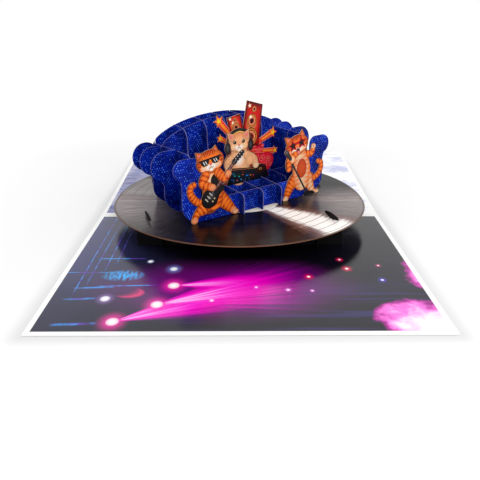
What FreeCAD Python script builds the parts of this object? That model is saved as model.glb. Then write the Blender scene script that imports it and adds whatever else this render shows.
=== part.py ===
import FreeCAD, Part
import math
import os

from FreeCAD import Placement, Rotation, Vector

# A pop up card, in millimetres. X runs along the fold, Y goes to the back, Z is up.
# The origin lies on the table, at the front crease, half way along the fold.

# Folded card
card_width = 190.0
panel_depth = 151.0
spine_width = 7.0
card_board = 0.6
back_tilt = 3.5
crease_depth = 0.15
crease_width = 0.8

# Raised disc
disc_radius = 82.7
disc_rise = 13.2
disc_board = 0.5

# Support frame under the disc
support_board = 0.5
wall_reach = 61.0
wall_inset_y = 50.0
centre_wall_y = -1.0
flap_width = 6.0
flap_relief = 1.0
frame_rib_x = 46.0
frame_rib_reach = 54.0
lug_x = 56.0
lug_y = 38.5
lug_angle = -70.0
lug_wall_reach = 18.0
lug_neck = 5.6
lug_head_reach = 8.5
lug_head_height = 3.2

# Clearances
glue_line = 0.1
slot_clearance = 0.1
seat_gap = 0.3

# Sofa lattice: long slices run at long_angle, ribs at rib_angle, both from the X axis.
# The middles of the long slices lie on a line at axis_angle.
sofa_board = 0.5
long_angle = 37.5
axis_angle = -60.0
rib_angle = -58.2
sofa_shift = 1.5
front_row = 21.3
seat_row = -4.0
back_row = -25.0
rear_row = -37.5
rib_pitch = 15.3
rib_shift = -0.6

# Sofa outlines, seen along a slice
seat_height = 12.9
arm_height = 39.8
back_arm_height = 38.6
arm_inner = 44.0
arm_corner = 5.0
seat_fillet = 1.5
roll_radius = 9.1
roll_reach = 65.0
front_roll_radius = 6.2
front_roll_reach = 62.0
roll_tuck = 72.0
side_reach = 57.0
rear_side_reach = 52.5
base_reach = 45.0
back_height = 50.8
back_notch = 36.5
back_reach = 49.2
back_shift = 1.4
rib_front = 27.0
short_rib_front = 12.7
rib_nose = 3.0
back_foot = -13.5
back_brow = -19.5
back_top_start = -27.5
back_top_round = 8.5
rear_overhang = 3.0
arm_wall_front = 14.5
arm_wall_drop = 0.9
arm_wall_fall = 2.2
arm_nose = 7.0
skirt = 1.5

# Figures
figure_board = 0.5
figure_unit = 1.0
dj_row = 3.0
burst_row = -5.0
tab_reach = 18.0
tab_top = 14.2
singer_shift = (-1.8, -1.2)
kitten_shift = (1.3, -1.8)
burst_shift = (1.4, -1.4)


def polygon_face(points):
    """Flat face on the given corners."""
    return Part.Face(Part.makePolygon(points + points[:1]))


def prism(points, thickness, axis):
    """Corners swept by thickness along axis."""
    return polygon_face(points).extrude(axis * thickness)


def joined(shapes):
    """One clean solid made of overlapping solids."""
    body = shapes[0].multiFuse(shapes[1:]) if len(shapes) > 1 else shapes[0]
    return body.removeSplitter()


# Heights of the folded sheets

def rise(y, crease):
    """Height that the tilted half has gained at y."""
    return max(0.0, y - crease) * math.tan(math.radians(back_tilt))


def upright(board, y, crease):
    """Board thickness measured along Z."""
    return board if y <= crease else board / math.cos(math.radians(back_tilt))


def card_top(y):
    return upright(card_board, y, spine_width) + rise(y, spine_width)


def disc_top(y):
    return disc_rise + rise(y, 0.0)


def disc_under(y):
    return disc_top(y) - upright(disc_board, y, 0.0)


def crease_groove(y, top):
    """Section of the scored line in a sheet's upper face."""
    half = crease_width / 2
    return [Vector(0, y - half, top), Vector(0, y, top - crease_depth), Vector(0, y + half, top)]


def base_card():
    """Front panel, spine and tilted back panel, one folded sheet with two scored creases."""
    tilt = math.radians(back_tilt)
    back_y = spine_width + panel_depth * math.cos(tilt)
    back_z = panel_depth * math.sin(tilt)
    section = [Vector(0, -panel_depth, 0), Vector(0, spine_width, 0), Vector(0, back_y, back_z)]
    section.append(Vector(0, back_y, card_top(back_y)))
    for crease in (spine_width, 0.0):
        section += crease_groove(crease, card_board)[::-1]
    section.append(Vector(0, -panel_depth, card_board))
    for corner in section:
        corner.x = -card_width / 2
    return prism(section, card_width, Vector(1, 0, 0))


def record_disc():
    """Round sheet creased along X, slit where the lugs of the frame come through."""
    reach = disc_radius + 1.0
    section = [Vector(0, -reach, disc_under(-reach)), Vector(0, 0, disc_under(0))]
    section += [Vector(0, reach, disc_under(reach)), Vector(0, reach, disc_top(reach))]
    section += crease_groove(0.0, disc_rise)[::-1]
    section.append(Vector(0, -reach, disc_rise))
    for corner in section:
        corner.x = -reach
    sheet = prism(section, 2 * reach, Vector(1, 0, 0))
    disc = sheet.common(Part.makeCylinder(disc_radius, 4 * disc_rise))
    slit_width = support_board + 2 * slot_clearance
    slit_length = lug_neck + 2 * slot_clearance
    for spot in lug_spots().values():
        slit = Part.makeBox(slit_length, slit_width, 4 * disc_rise)
        slit.translate(Vector(-slit_length / 2, -slit_width / 2, 0))
        slit.Placement = Placement(spot, Rotation(Vector(0, 0, 1), lug_angle)).multiply(slit.Placement)
        disc = disc.cut(slit)
    return disc


# Support frame: card strips along X, called walls, lapped by two ribs along Y

def flap_walls():
    """Place of each folded wall's web, and the side its flaps turn to."""
    return [(-wall_inset_y, 1), (centre_wall_y, -1), (wall_inset_y, -1)]


def web_middles():
    """Middle plane of every wall's web."""
    return [web_y + side * support_board / 2 for web_y, side in flap_walls()]


def middle_height(y):
    return (card_top(y) + disc_under(y)) / 2


def rib_slots(wall, web_y):
    """Opens a wall from below where the two ribs pass."""
    width = support_board + 2 * slot_clearance
    for x in (-frame_rib_x, frame_rib_x):
        slot = Part.makeBox(width, 4 * support_board, middle_height(web_y))
        slot.translate(Vector(x - width / 2, web_y - 2 * support_board, 0))
        wall = wall.cut(slot)
    return wall


def flap_wall(web_y, flap_side):
    """Folded wall with a glued flap below and one above, both cut away round the ribs."""
    outer = web_y
    inner = web_y + flap_side * support_board
    flap = web_y + flap_side * flap_width
    section = []
    for y in (outer, flap):
        section.append(Vector(0, y, card_top(y) + glue_line))
    for y in (flap, inner):
        section.append(Vector(0, y, card_top(y) + glue_line + support_board))
    for y in (inner, flap):
        section.append(Vector(0, y, disc_under(y) - glue_line - support_board))
    for y in (flap, outer):
        section.append(Vector(0, y, disc_under(y) - glue_line))
    for corner in section:
        corner.x = -wall_reach
    wall = prism(section, 2 * wall_reach, Vector(1, 0, 0))
    relief = support_board + 2 * flap_relief
    start = min(inner, flap)
    for x in (-frame_rib_x, frame_rib_x):
        gap = Part.makeBox(relief, abs(flap - inner), 2 * disc_rise)
        gap.translate(Vector(x - relief / 2, start, 0))
        wall = wall.cut(gap)
    return rib_slots(wall, web_y)


def lug_spots():
    """Where each lug comes up through the disc, by the name of its wall."""
    return {"lug_wall_front_left": Vector(-lug_x, -lug_y, 0), "lug_wall_front_right": Vector(lug_x, -lug_y, 0),
            "lug_wall_back_left": Vector(-lug_x, lug_y, 0), "lug_wall_back_right": Vector(lug_x, lug_y, 0)}


def lug_wall_space(side):
    """Room for a lug wall: between the cards and clear of the folded walls, in front (-1) or behind (1)."""
    near = side * (abs(centre_wall_y) + flap_width + flap_relief)
    far = side * (wall_inset_y - flap_width - flap_relief)
    spine = [spine_width] if side > 0 and near < spine_width else []
    section = [Vector(-disc_radius, y, card_top(y) + glue_line) for y in [near] + spine + [far]]
    section += [Vector(-disc_radius, y, disc_under(y) - glue_line) for y in (far, near)]
    return prism(section, 2 * disc_radius, Vector(1, 0, 0))


def lug_wall(spot):
    """Short wall at lug_angle, with a neck that stands in the slit and an oval head above the disc."""
    turn = Placement(spot, Rotation(Vector(0, 0, 1), lug_angle))
    lean = abs(math.sin(math.radians(lug_angle)))
    seat = disc_top(spot.y + lean * lug_head_reach) + seat_gap
    middle = seat + lug_head_height / 2
    wall = Part.makeBox(2 * lug_wall_reach, support_board, middle)
    wall.translate(Vector(-lug_wall_reach, -support_board / 2, 0))
    wall.Placement = turn.multiply(wall.Placement)
    wall = wall.common(lug_wall_space(math.copysign(1.0, spot.y)))
    half = lug_neck / 2
    foot = disc_under(spot.y - lean * half) - support_board
    neck = polygon_face([Vector(-half, 0, foot), Vector(half, 0, foot), Vector(half, 0, middle),
                         Vector(-half, 0, middle)])
    head = oval((0.0, middle), lug_head_reach, lug_head_height / 2)
    lug = joined([face.extrude(Vector(0, support_board, 0)) for face in (neck, head)])
    lug.translate(Vector(0, -support_board / 2, 0))
    lug.Placement = turn.multiply(lug.Placement)
    return joined([wall, lug])


def frame_rib(x):
    """Card strip along Y that laps all the walls."""
    lows = [-frame_rib_reach, spine_width, frame_rib_reach]
    highs = [frame_rib_reach, 0.0, -frame_rib_reach]
    section = [Vector(0, y, card_top(y) + glue_line) for y in lows]
    section += [Vector(0, y, disc_under(y) - glue_line) for y in highs]
    rib = prism(section, support_board, Vector(1, 0, 0))
    rib.translate(Vector(x - support_board / 2, 0, 0))
    width = support_board + 2 * slot_clearance
    for web_y in web_middles():
        slot = Part.makeBox(4 * support_board, width, disc_rise)
        slot.translate(Vector(x - 2 * support_board, web_y - width / 2, middle_height(web_y)))
        rib = rib.cut(slot)
    return rib


# Sofa lattice

def direction(angle):
    return Vector(math.cos(math.radians(angle)), math.sin(math.radians(angle)), 0)


def sofa_middle():
    return direction(long_angle) * sofa_shift


def slice_place(centre, angle, ends):
    """Stands a slice on the disc: it leans with the disc between the two ends of its base."""
    first, last = [centre + direction(angle) * s for s in ends]
    slope = (disc_top(last.y) - disc_top(first.y)) / (ends[1] - ends[0])
    height = disc_top(first.y) - slope * ends[0]
    turn = Rotation(Vector(0, 0, 1), angle)
    lean = Rotation(Vector(0, 1, 0), -math.degrees(math.atan(slope)))
    return Placement(Vector(centre.x, centre.y, height), turn.multiply(lean))


def row_centre(row):
    return sofa_middle() + direction(axis_angle) * row


def rib_centre(offset):
    return sofa_middle() + direction(long_angle) * (offset + rib_shift)


def row_place(row):
    """Frame of a long slice: its own X along the sofa, its own Z up the sheet."""
    return slice_place(row_centre(row), long_angle, (-base_reach, base_reach))


def rib_place(offset, front):
    """Frame of a rib: its own X towards the front of the sofa."""
    return slice_place(rib_centre(offset), rib_angle, (rear_row, front))


def edge(points):
    """Line, arc or smooth curve through two, three or more (along, up) points."""
    spots = [Vector(along, 0, up) for along, up in points]
    if len(spots) == 2:
        return Part.makeLine(spots[0], spots[1])
    if len(spots) == 3:
        return Part.Arc(spots[0], spots[1], spots[2]).toShape()
    curve = Part.BSplineCurve()
    curve.interpolate(spots)
    return curve.toShape()


def card_piece(runs, board, place, shift=0.0):
    """Sheet cut to an outline given as joined runs, shift is its distance in front of the frame."""
    face = Part.Face(Part.Wire([edge(run) for run in runs]))
    sheet = face.extrude(Vector(0, board, 0))
    sheet.translate(Vector(0, -board / 2 - shift, 0))
    sheet.Placement = place.multiply(sheet.Placement)
    return sheet


def mirrored(runs):
    """The same outline runs on the other side of the middle, in the order that joins up."""
    return [[(-along, up) for along, up in run[::-1]] for run in runs[::-1]]


def round_corner(centre, radius, start, end):
    """Arc about centre from the start angle to the end angle, in degrees."""
    spots = []
    for angle in (start, (start + end) / 2, end):
        turn = math.radians(angle)
        spots.append((centre[0] + radius * math.cos(turn), centre[1] + radius * math.sin(turn)))
    return spots


def arch_height(along):
    """Top edge of the backrest, along the sofa."""
    share = max(0.0, 1 - (along / back_reach) ** 2)
    return back_notch + (back_height - back_notch) * share ** 0.62


def arm_outer_runs(roll_top, radius, side_out):
    """Roll, side and base of the right arm, from the top of the roll to the middle of the base."""
    roll_run = round_corner((roll_top[0], roll_top[1] - radius), radius, 90, -roll_tuck)
    neck = roll_run[-1]
    side = [neck, (side_out - 0.3, neck[1] - 5.0), (side_out, 13.0), (side_out - 1.2, 7.0)]
    side += [((side_out + base_reach) / 2, 2.2), (base_reach, -skirt)]
    return [roll_run, side, [(base_reach, -skirt), (0, -skirt)]]


def seat_slice_runs(radius, reach):
    """Outline of a slice through the arms and the seat, with the radius and reach of the arm's roll."""
    roll_top = (reach - radius, arm_height)
    fillet = (arm_inner - seat_fillet, seat_height + seat_fillet)
    corner = (arm_inner + arm_corner, arm_height - arm_corner)
    fillet_run = round_corner(fillet, seat_fillet, -90, 0)
    corner_run = round_corner(corner, arm_corner, 180, 90)
    right = [[(0, seat_height), fillet_run[0]], fillet_run, [fillet_run[-1], corner_run[0]]]
    right += [corner_run, [corner_run[-1], roll_top]] + arm_outer_runs(roll_top, radius, side_reach)
    return right + mirrored(right)


def back_slice_runs(side_out):
    """Outline of a slice through the arms and the arched backrest, with a notch between them."""
    roll_top = (roll_reach - roll_radius, back_arm_height)
    shares = (0.0, 0.2, 0.4, 0.58, 0.74, 0.87, 0.96, 1.0)
    arch = [(share * back_reach, arch_height(share * back_reach)) for share in shares]
    climb = (back_reach + 1.9, back_arm_height - 0.9)
    right = [arch, [arch[-1], climb, roll_top]] + arm_outer_runs(roll_top, roll_radius, side_out)
    return [[(along + back_shift, up) for along, up in run] for run in right + mirrored(right)]


def seat_rib_runs(front, offset):
    """Outline of a rib through seat and backrest."""
    top = arch_height(offset) - 0.3
    rear = rear_row - rear_overhang
    nose = round_corner((front - rib_nose, seat_height - rib_nose), rib_nose, 0, 90)
    foot = (back_foot, seat_height)
    brow = (back_brow, top - back_top_round)
    crown = (back_top_start, top)
    shoulder = (rear_row - 0.6, top)
    runs = [[(rear_row, -skirt), (front, -skirt)], [(front, -skirt), nose[0]], nose, [nose[-1], foot]]
    runs.append([foot, (back_foot - 2.4, seat_height + 12.0), (back_brow + 0.9, brow[1] - 8.0), brow])
    runs.append([brow, (back_brow - 2.2, top - 2.6), crown])
    runs.append([crown, shoulder])
    runs.append([shoulder, (rear - 0.6, top - 2.0), (rear, top - 7.0)])
    runs.append([(rear, top - 7.0), (rear, 8.0)])
    runs.append([(rear, 8.0), (rear + 0.8, 3.0), (rear_row, -skirt)])
    return runs


def arm_wall_runs():
    """Outline of the rib that closes an arm, its top falls towards the back."""
    nose = (arm_wall_front - arm_nose, arm_height - arm_wall_drop - arm_nose)
    front = round_corner(nose, arm_nose, 0, 90)
    rear = rear_row - rear_overhang
    top = front[-1][1] - arm_wall_fall
    shoulder = (rear_row - 0.6, top)
    runs = [[(rear_row, -skirt), (arm_wall_front, -skirt)], [(arm_wall_front, -skirt), front[0]], front]
    runs += [[front[-1], shoulder], [shoulder, (rear - 0.4, top - 1.4), (rear, top - 5.0)]]
    runs.append([(rear, top - 5.0), (rear, 8.0)])
    runs.append([(rear, 8.0), (rear + 0.8, 3.0), (rear_row, -skirt)])
    return runs


def sofa_rows():
    """Long slices by name: the row and the outline of each."""
    return {
        "sofa_front_slice": (front_row, seat_slice_runs(front_roll_radius, front_roll_reach)),
        "sofa_seat_slice": (seat_row, seat_slice_runs(roll_radius, roll_reach)),
        "sofa_back_slice": (back_row, back_slice_runs(side_reach)),
        "sofa_rear_slice": (rear_row, back_slice_runs(rear_side_reach)),
    }


def sofa_ribs():
    """Ribs by name: the offset along the sofa, the front end and the outline of each."""
    ribs = {"seat_rib_centre": (0.0, rib_front, seat_rib_runs(rib_front, 0.0))}
    for side, sign in (("left", -1), ("right", 1)):
        near, far, wall = [sign * count * rib_pitch for count in (1, 2, 3)]
        ribs["seat_rib_" + side] = (near, rib_front, seat_rib_runs(rib_front, near))
        ribs["side_rib_" + side] = (far, short_rib_front, seat_rib_runs(short_rib_front, far))
        ribs["arm_wall_" + side] = (wall, arm_wall_front, arm_wall_runs())
    return ribs


def crossing(row, offset):
    """Where a long slice and a rib cross, in plan."""
    along, start = direction(long_angle), row_centre(row)
    across, foot = direction(rib_angle), rib_centre(offset)
    turn = along.x * across.y - along.y * across.x
    gap = foot - start
    return start + along * ((gap.x * across.y - gap.y * across.x) / turn)


def slot_box(spot, along, board, bottom, top):
    """Upright slot for a crossing sheet that runs at the angle along."""
    width = board + 2 * slot_clearance
    length = 8 * board
    box = Part.makeBox(length, width, top - bottom, Vector(-length / 2, -width / 2, 0))
    box.Placement = Placement(Vector(spot.x, spot.y, bottom), Rotation(Vector(0, 0, 1), along))
    return box


def half_lap(long_sheet, long_board, rib, rib_board, spot, long_slot_up=True):
    """Slots both sheets half way where they cross, the long one from above unless told otherwise."""
    shared = long_sheet.common(rib)
    if shared.Volume < 1e-6:
        return long_sheet, rib
    box = shared.BoundBox
    middle = (box.ZMin + box.ZMax) / 2
    above, below = (middle, box.ZMax + 60.0), (box.ZMin - 20.0, middle)
    long_span, rib_span = (above, below) if long_slot_up else (below, above)
    long_cut = slot_box(spot, rib_angle, rib_board, long_span[0], long_span[1])
    rib_cut = slot_box(spot, long_angle, long_board, rib_span[0], rib_span[1])
    return long_sheet.cut(long_cut), rib.cut(rib_cut)


def under_disc():
    """Everything below the sheets' seat on the disc, for trimming their lower edges."""
    reach = 2 * disc_radius
    section = [Vector(-reach, -reach, -skirt), Vector(-reach, reach, -skirt)]
    section += [Vector(-reach, y, disc_top(y) + seat_gap) for y in (reach, 0.0, -reach)]
    return prism(section, 2 * reach, Vector(1, 0, 0))


# Figures: flat cut-outs drawn from ovals, limbs and corners

def oval(centre, across, up, turn=0.0):
    """Ellipse face with half axes across and up, turned in its plane."""
    middle = Vector(centre[0], 0, centre[1])
    lean = math.radians(turn)
    ends = [Vector(math.cos(lean), 0, math.sin(lean)) * across, Vector(-math.sin(lean), 0, math.cos(lean)) * up]
    ends.sort(key=lambda end: end.Length, reverse=True)
    curve = Part.Ellipse(middle + ends[0], middle + ends[1], middle)
    return Part.Face(Part.Wire([curve.toShape()]))


def limb(path, widths):
    """Smooth band along path with a half width at each point and round ends."""
    spots = [Vector(along, 0, up) for along, up in path]
    if len(spots) == 2:
        spots.insert(1, (spots[0] + spots[1]) * 0.5)
        widths = [widths[0], (widths[0] + widths[-1]) / 2, widths[-1]]
    spine = Part.BSplineCurve()
    spine.interpolate(spots)
    sides = ([], [])
    for spot, half in zip(spots, widths):
        tangent = spine.tangent(spine.parameter(spot))[0]
        normal = Vector(-tangent.z, 0, tangent.x)
        sides[0].append(spot + normal * half)
        sides[1].append(spot - normal * half)
    start = spots[0] - spine.tangent(spine.FirstParameter)[0] * widths[0]
    tip = spots[-1] + spine.tangent(spine.LastParameter)[0] * widths[-1]
    left = Part.BSplineCurve()
    left.interpolate(sides[0])
    right = Part.BSplineCurve()
    right.interpolate(sides[1][::-1])
    tip_arc = Part.Arc(sides[0][-1], tip, sides[1][-1]).toShape()
    start_arc = Part.Arc(sides[1][0], start, sides[0][0]).toShape()
    return Part.Face(Part.Wire([left.toShape(), tip_arc, right.toShape(), start_arc]))


def corners(points):
    """Straight-sided face."""
    return polygon_face([Vector(along, 0, up) for along, up in points])


def star(centre, radius, turn):
    """Five-pointed star face."""
    points = []
    for step in range(10):
        reach = radius if step % 2 == 0 else 0.45 * radius
        angle = math.radians(90 + turn + 36 * step)
        points.append((centre[0] + reach * math.cos(angle), centre[1] + reach * math.sin(angle)))
    return corners(points)


def moved(faces, shift=(0.0, 0.0)):
    """The faces at the size of figure_unit, moved along and up the sheet."""
    for face in faces:
        face.scale(figure_unit)
        face.translate(Vector(shift[0], 0, shift[1]))
    return faces


def cut_out(faces, place, shift=0.0):
    """Card figure made of overlapping faces, shift is its distance in front of the frame."""
    sheet = joined([face.extrude(Vector(0, figure_board, 0)) for face in faces])
    sheet.translate(Vector(0, -figure_board / 2 - shift, 0))
    sheet.Placement = place.multiply(sheet.Placement)
    return sheet


def guitar_cat_faces():
    """Cat that plays a guitar, left of the seat."""
    faces = [oval((-37.0, 36.0), 9.8, 7.3, 8)]
    faces.append(corners([(-46.2, 36.5), (-47.2, 42.6), (-40.2, 41.5), (-40.0, 36.0)]))
    faces.append(corners([(-38.2, 41.0), (-33.0, 45.4), (-29.4, 39.4), (-33.0, 36.0)]))
    faces.append(limb([(-36.8, 31.0), (-36.4, 22.0), (-34.8, 12.6)], [5.8, 6.8, 7.0]))
    faces.append(limb([(-40.6, 28.0), (-42.6, 23.6), (-36.0, 20.2)], [3.2, 3.0, 2.5]))
    faces.append(limb([(-31.6, 28.6), (-26.8, 24.6), (-24.2, 26.8)], [3.2, 2.9, 2.5]))
    faces.append(limb([(-37.0, 12.4), (-42.6, 8.4), (-47.4, 5.6), (-49.2, 1.9)], [5.2, 4.5, 2.5, 2.4]))
    faces.append(limb([(-32.6, 14.6), (-26.4, 8.8), (-20.4, 2.9)], [5.2, 4.2, 2.5]))
    faces.append(oval((-18.8, 1.6), 2.7, 1.9))
    faces.append(limb([(-40.6, 11.4), (-47.2, 13.4), (-51.2, 18.6), (-51.2, 22.6), (-48.8, 23.9)],
                      [2.2, 2.4, 2.4, 2.2, 1.9]))
    faces.append(oval((-38.2, 14.6), 6.4, 5.0, 48))
    faces.append(oval((-33.8, 19.2), 4.9, 3.9, -42))
    faces.append(limb([(-33.0, 19.6), (-19.0, 33.4)], [1.2, 1.2]))
    faces.append(limb([(-19.4, 33.2), (-13.4, 38.0)], [1.9, 1.7]))
    return moved(faces)


def singer_cat_faces():
    """Cat that sings at a microphone stand, right of the seat."""
    faces = [oval((34.0, 36.9), 9.9, 7.0, 12)]
    faces.append(corners([(25.0, 37.4), (22.8, 43.4), (30.0, 42.2), (30.0, 37.0)]))
    faces.append(corners([(33.4, 42.0), (38.2, 47.2), (42.0, 40.4), (38.0, 37.0)]))
    faces.append(limb([(36.4, 31.0), (38.6, 21.0), (39.2, 12.6)], [5.2, 8.0, 7.2]))
    faces.append(limb([(32.0, 31.0), (27.2, 28.4), (27.2, 22.4)], [2.8, 2.4, 2.4]))
    faces.append(oval((30.4, 28.2), 2.6, 3.0))
    faces.append(limb([(42.6, 30.0), (47.4, 30.4), (48.9, 34.4)], [2.9, 2.4, 2.1]))
    faces.append(limb([(34.0, 14.4), (28.8, 9.6), (26.2, 4.4), (24.9, 1.9)], [5.0, 3.9, 2.9, 2.4]))
    faces.append(limb([(44.2, 13.4), (47.8, 6.4), (50.6, 2.8), (53.8, 2.0)], [4.8, 3.2, 2.2, 1.9]))
    faces.append(limb([(45.6, 13.0), (52.0, 13.0), (56.6, 17.4), (56.8, 21.8), (54.0, 23.5)],
                      [2.2, 2.3, 2.2, 2.0, 1.8]))
    faces.append(limb([(24.8, 33.4), (27.8, 29.2)], [1.6, 1.4]))
    faces.append(limb([(27.0, 30.0), (45.2, 1.4)], [0.7, 0.7]))
    faces.append(oval((46.2, 0.9), 5.2, 1.6, -4))
    return moved(faces, singer_shift)


def lattice_tab():
    """Foot of a card that stands in the seat like a slice."""
    return corners([(-tab_reach, -skirt), (-tab_reach, seat_height), (2 - tab_reach, tab_top),
                    (tab_reach - 2, tab_top), (tab_reach, seat_height), (tab_reach, -skirt)])


def dj_kitten_faces():
    """Kitten with headphones behind a mixing desk, on a tab that laps the seat ribs."""
    faces = [oval((-4.6, 40.6), 9.2, 6.9)]
    faces.append(corners([(-13.0, 42.0), (-14.2, 48.2), (-7.8, 46.4), (-8.0, 41.0)]))
    faces.append(corners([(-1.4, 46.6), (3.6, 48.7), (4.2, 42.0), (-2.0, 41.0)]))
    faces.append(limb([(-13.6, 39.6), (-11.4, 46.4), (-4.6, 48.8), (2.2, 46.6), (4.6, 39.6)],
                      [1.0, 1.0, 1.0, 1.0, 1.0]))
    faces.append(oval((-13.6, 38.0), 2.3, 3.9))
    faces.append(oval((4.9, 37.8), 2.4, 4.0))
    faces.append(limb([(-4.5, 34.5), (-4.5, 21.0)], [6.6, 9.2]))
    faces.append(limb([(-9.6, 31.4), (-14.0, 28.4), (-13.4, 24.4)], [3.2, 3.0, 2.6]))
    faces.append(limb([(1.6, 31.4), (7.2, 28.0), (9.4, 23.0)], [3.2, 3.1, 2.7]))
    faces.append(oval((4.0, 28.0), 3.4, 4.0))
    faces.append(oval((13.0, 20.2), 5.4, 3.4))
    faces.append(corners([(-15.4, 13.4), (-11.2, 24.6), (17.8, 21.4), (20.6, 14.4), (18.0, 13.0)]))
    return moved(faces, kitten_shift) + [lattice_tab()]


def speaker_burst_faces():
    """Two loudspeakers, rays and stars behind the kitten, on a tab that laps the seat ribs."""
    hub = (5.0, 31.0)
    faces = [corners([(7.7, 64.2), (20.9, 60.2), (17.0, 32.5), (1.2, 35.5)])]
    faces.append(corners([(-9.0, 54.6), (1.8, 56.4), (4.6, 45.4), (-6.4, 42.4)]))
    for tip, size, turn in burst_stars():
        reach = Vector(tip[0] - hub[0], 0, tip[1] - hub[1])
        side = Vector(-reach.z, 0, reach.x).normalize() * 0.62 * size
        foot = side * 0.45
        far = Vector(tip[0], 0, tip[1])
        near = Vector(hub[0], 0, hub[1])
        faces.append(polygon_face([near + foot, far + side, far - side, near - foot]))
        faces.append(star(tip, size, turn))
    faces.append(oval((23.0, 21.0), 7.6, 6.6, 20))
    faces.append(corners([(-11.0, 13.0), (-9.0, 46.0), (4.0, 46.0), (18.0, 38.0), (24.0, 26.0), (22.0, 13.0)]))
    return moved(faces, burst_shift) + [lattice_tab()]


def burst_stars():
    """Centre, radius and turn of each star at the end of its ray."""
    return [((-15.4, 53.6), 4.2, 20), ((-14.6, 42.4), 3.0, -8), ((29.6, 40.4), 4.0, -16), ((31.6, 27.6), 3.2, 10)]


def build_nodes():
    nodes = {"base_card": base_card(), "record_disc": record_disc()}
    names = ("support_wall_front", "support_wall_centre", "support_wall_back")
    for name, (web_y, flap_side) in zip(names, flap_walls()):
        nodes[name] = flap_wall(web_y, flap_side)
    for name, spot in lug_spots().items():
        nodes[name] = lug_wall(spot)
    nodes["support_rib_left"] = frame_rib(-frame_rib_x)
    nodes["support_rib_right"] = frame_rib(frame_rib_x)

    ground = under_disc()
    rows = sofa_rows()
    ribs = sofa_ribs()
    for name, (row, runs) in rows.items():
        nodes[name] = card_piece(runs, sofa_board, row_place(row)).cut(ground)
    for name, (offset, front, runs) in ribs.items():
        nodes[name] = card_piece(runs, sofa_board, rib_place(offset, front)).cut(ground)

    nodes["dj_kitten_card"] = cut_out(dj_kitten_faces(), row_place(dj_row)).cut(ground)
    nodes["speaker_burst_card"] = cut_out(speaker_burst_faces(), row_place(burst_row)).cut(ground)
    glued = sofa_board / 2 + glue_line + figure_board / 2
    front = row_place(front_row)
    nodes["guitar_cat_card"] = cut_out(guitar_cat_faces(), front, glued).cut(ground)
    nodes["singer_cat_card"] = cut_out(singer_cat_faces(), front, glued).cut(ground)

    for rib_name, (offset, rib_end, runs) in ribs.items():
        for row_name, (row, row_runs) in rows.items():
            spot = crossing(row, offset)
            laps = half_lap(nodes[row_name], sofa_board, nodes[rib_name], sofa_board, spot)
            nodes[row_name], nodes[rib_name] = laps
        for card_name, row in (("dj_kitten_card", dj_row), ("speaker_burst_card", burst_row)):
            spot = crossing(row, offset)
            laps = half_lap(nodes[card_name], figure_board, nodes[rib_name], sofa_board, spot, False)
            nodes[card_name], nodes[rib_name] = laps
    return nodes


os.makedirs("parts", exist_ok=True)
for node_name, node_shape in build_nodes().items():
    solids = node_shape.Solids
    if len(solids) != 1:
        print(node_name, "has", len(solids), "solids")
    solids[0].exportStep(os.path.join("parts", node_name + ".step"))
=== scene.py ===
import math

import bmesh
import bpy
import numpy as np
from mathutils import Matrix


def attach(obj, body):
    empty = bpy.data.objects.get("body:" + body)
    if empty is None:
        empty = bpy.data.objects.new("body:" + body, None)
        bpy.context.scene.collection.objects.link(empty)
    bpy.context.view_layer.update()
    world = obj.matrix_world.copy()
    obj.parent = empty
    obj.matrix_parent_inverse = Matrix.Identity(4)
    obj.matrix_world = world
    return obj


bl_info = {
    "name": "Pop Up Card",
    "version": (1, 0, 0),
    "blender": (4, 5, 0),
    "location": "3D View > Sidebar > Pop Up Card",
    "description": "Prints, card finishes and lighting of a pop up card with a card sofa",
    "category": "Object",
}

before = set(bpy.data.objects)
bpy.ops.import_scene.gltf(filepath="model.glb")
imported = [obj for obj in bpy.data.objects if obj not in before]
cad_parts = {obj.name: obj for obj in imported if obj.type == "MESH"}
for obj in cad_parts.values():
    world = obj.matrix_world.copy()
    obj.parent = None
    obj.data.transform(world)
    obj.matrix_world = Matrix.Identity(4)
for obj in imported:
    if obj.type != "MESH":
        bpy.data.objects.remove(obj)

# Sizes of the card that the prints follow, in millimetres
CARD_HALF_WIDTH = 95.0
PANEL_DEPTH = 151.0
SPINE_WIDTH = 7.0
CARD_BOARD = 0.6
BACK_TILT = math.radians(3.5)
DISC_RISE = 13.2
DISC_RADIUS = 82.7
LONG_ANGLE = math.radians(37.5)
AXIS_ANGLE = math.radians(-60.0)
RIB_ANGLE = math.radians(-58.2)
SOFA_SHIFT = 1.5
BASE_REACH = 45.0
FRONT_ROW = 21.3
KITTEN_ROW = 3.0
BURST_ROW = -5.0
GLUED_DEPTH = 0.85
LAPPED_DEPTH = 0.25
TAB_TOP = 26.0

# Stage, in metres
FLOOR_REACH = 20
FLOOR_DROP = 0.0002
CAMERA_PLACE = (-0.0015, -0.36026, 0.12943)
CAMERA_DIP = 22.05
CAMERA_TURN = -0.29


def ink(red, green, blue):
    """Scene linear colour of a screen colour given from 0 to 255."""
    share = np.array([red, green, blue]) / 255.0
    linear = np.where(share <= 0.04045, share / 12.92, ((share + 0.055) / 1.055) ** 2.4)
    return tuple(float(value) for value in linear)


def opaque(colour):
    return (colour[0], colour[1], colour[2], 1.0)


# Node trees

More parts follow.
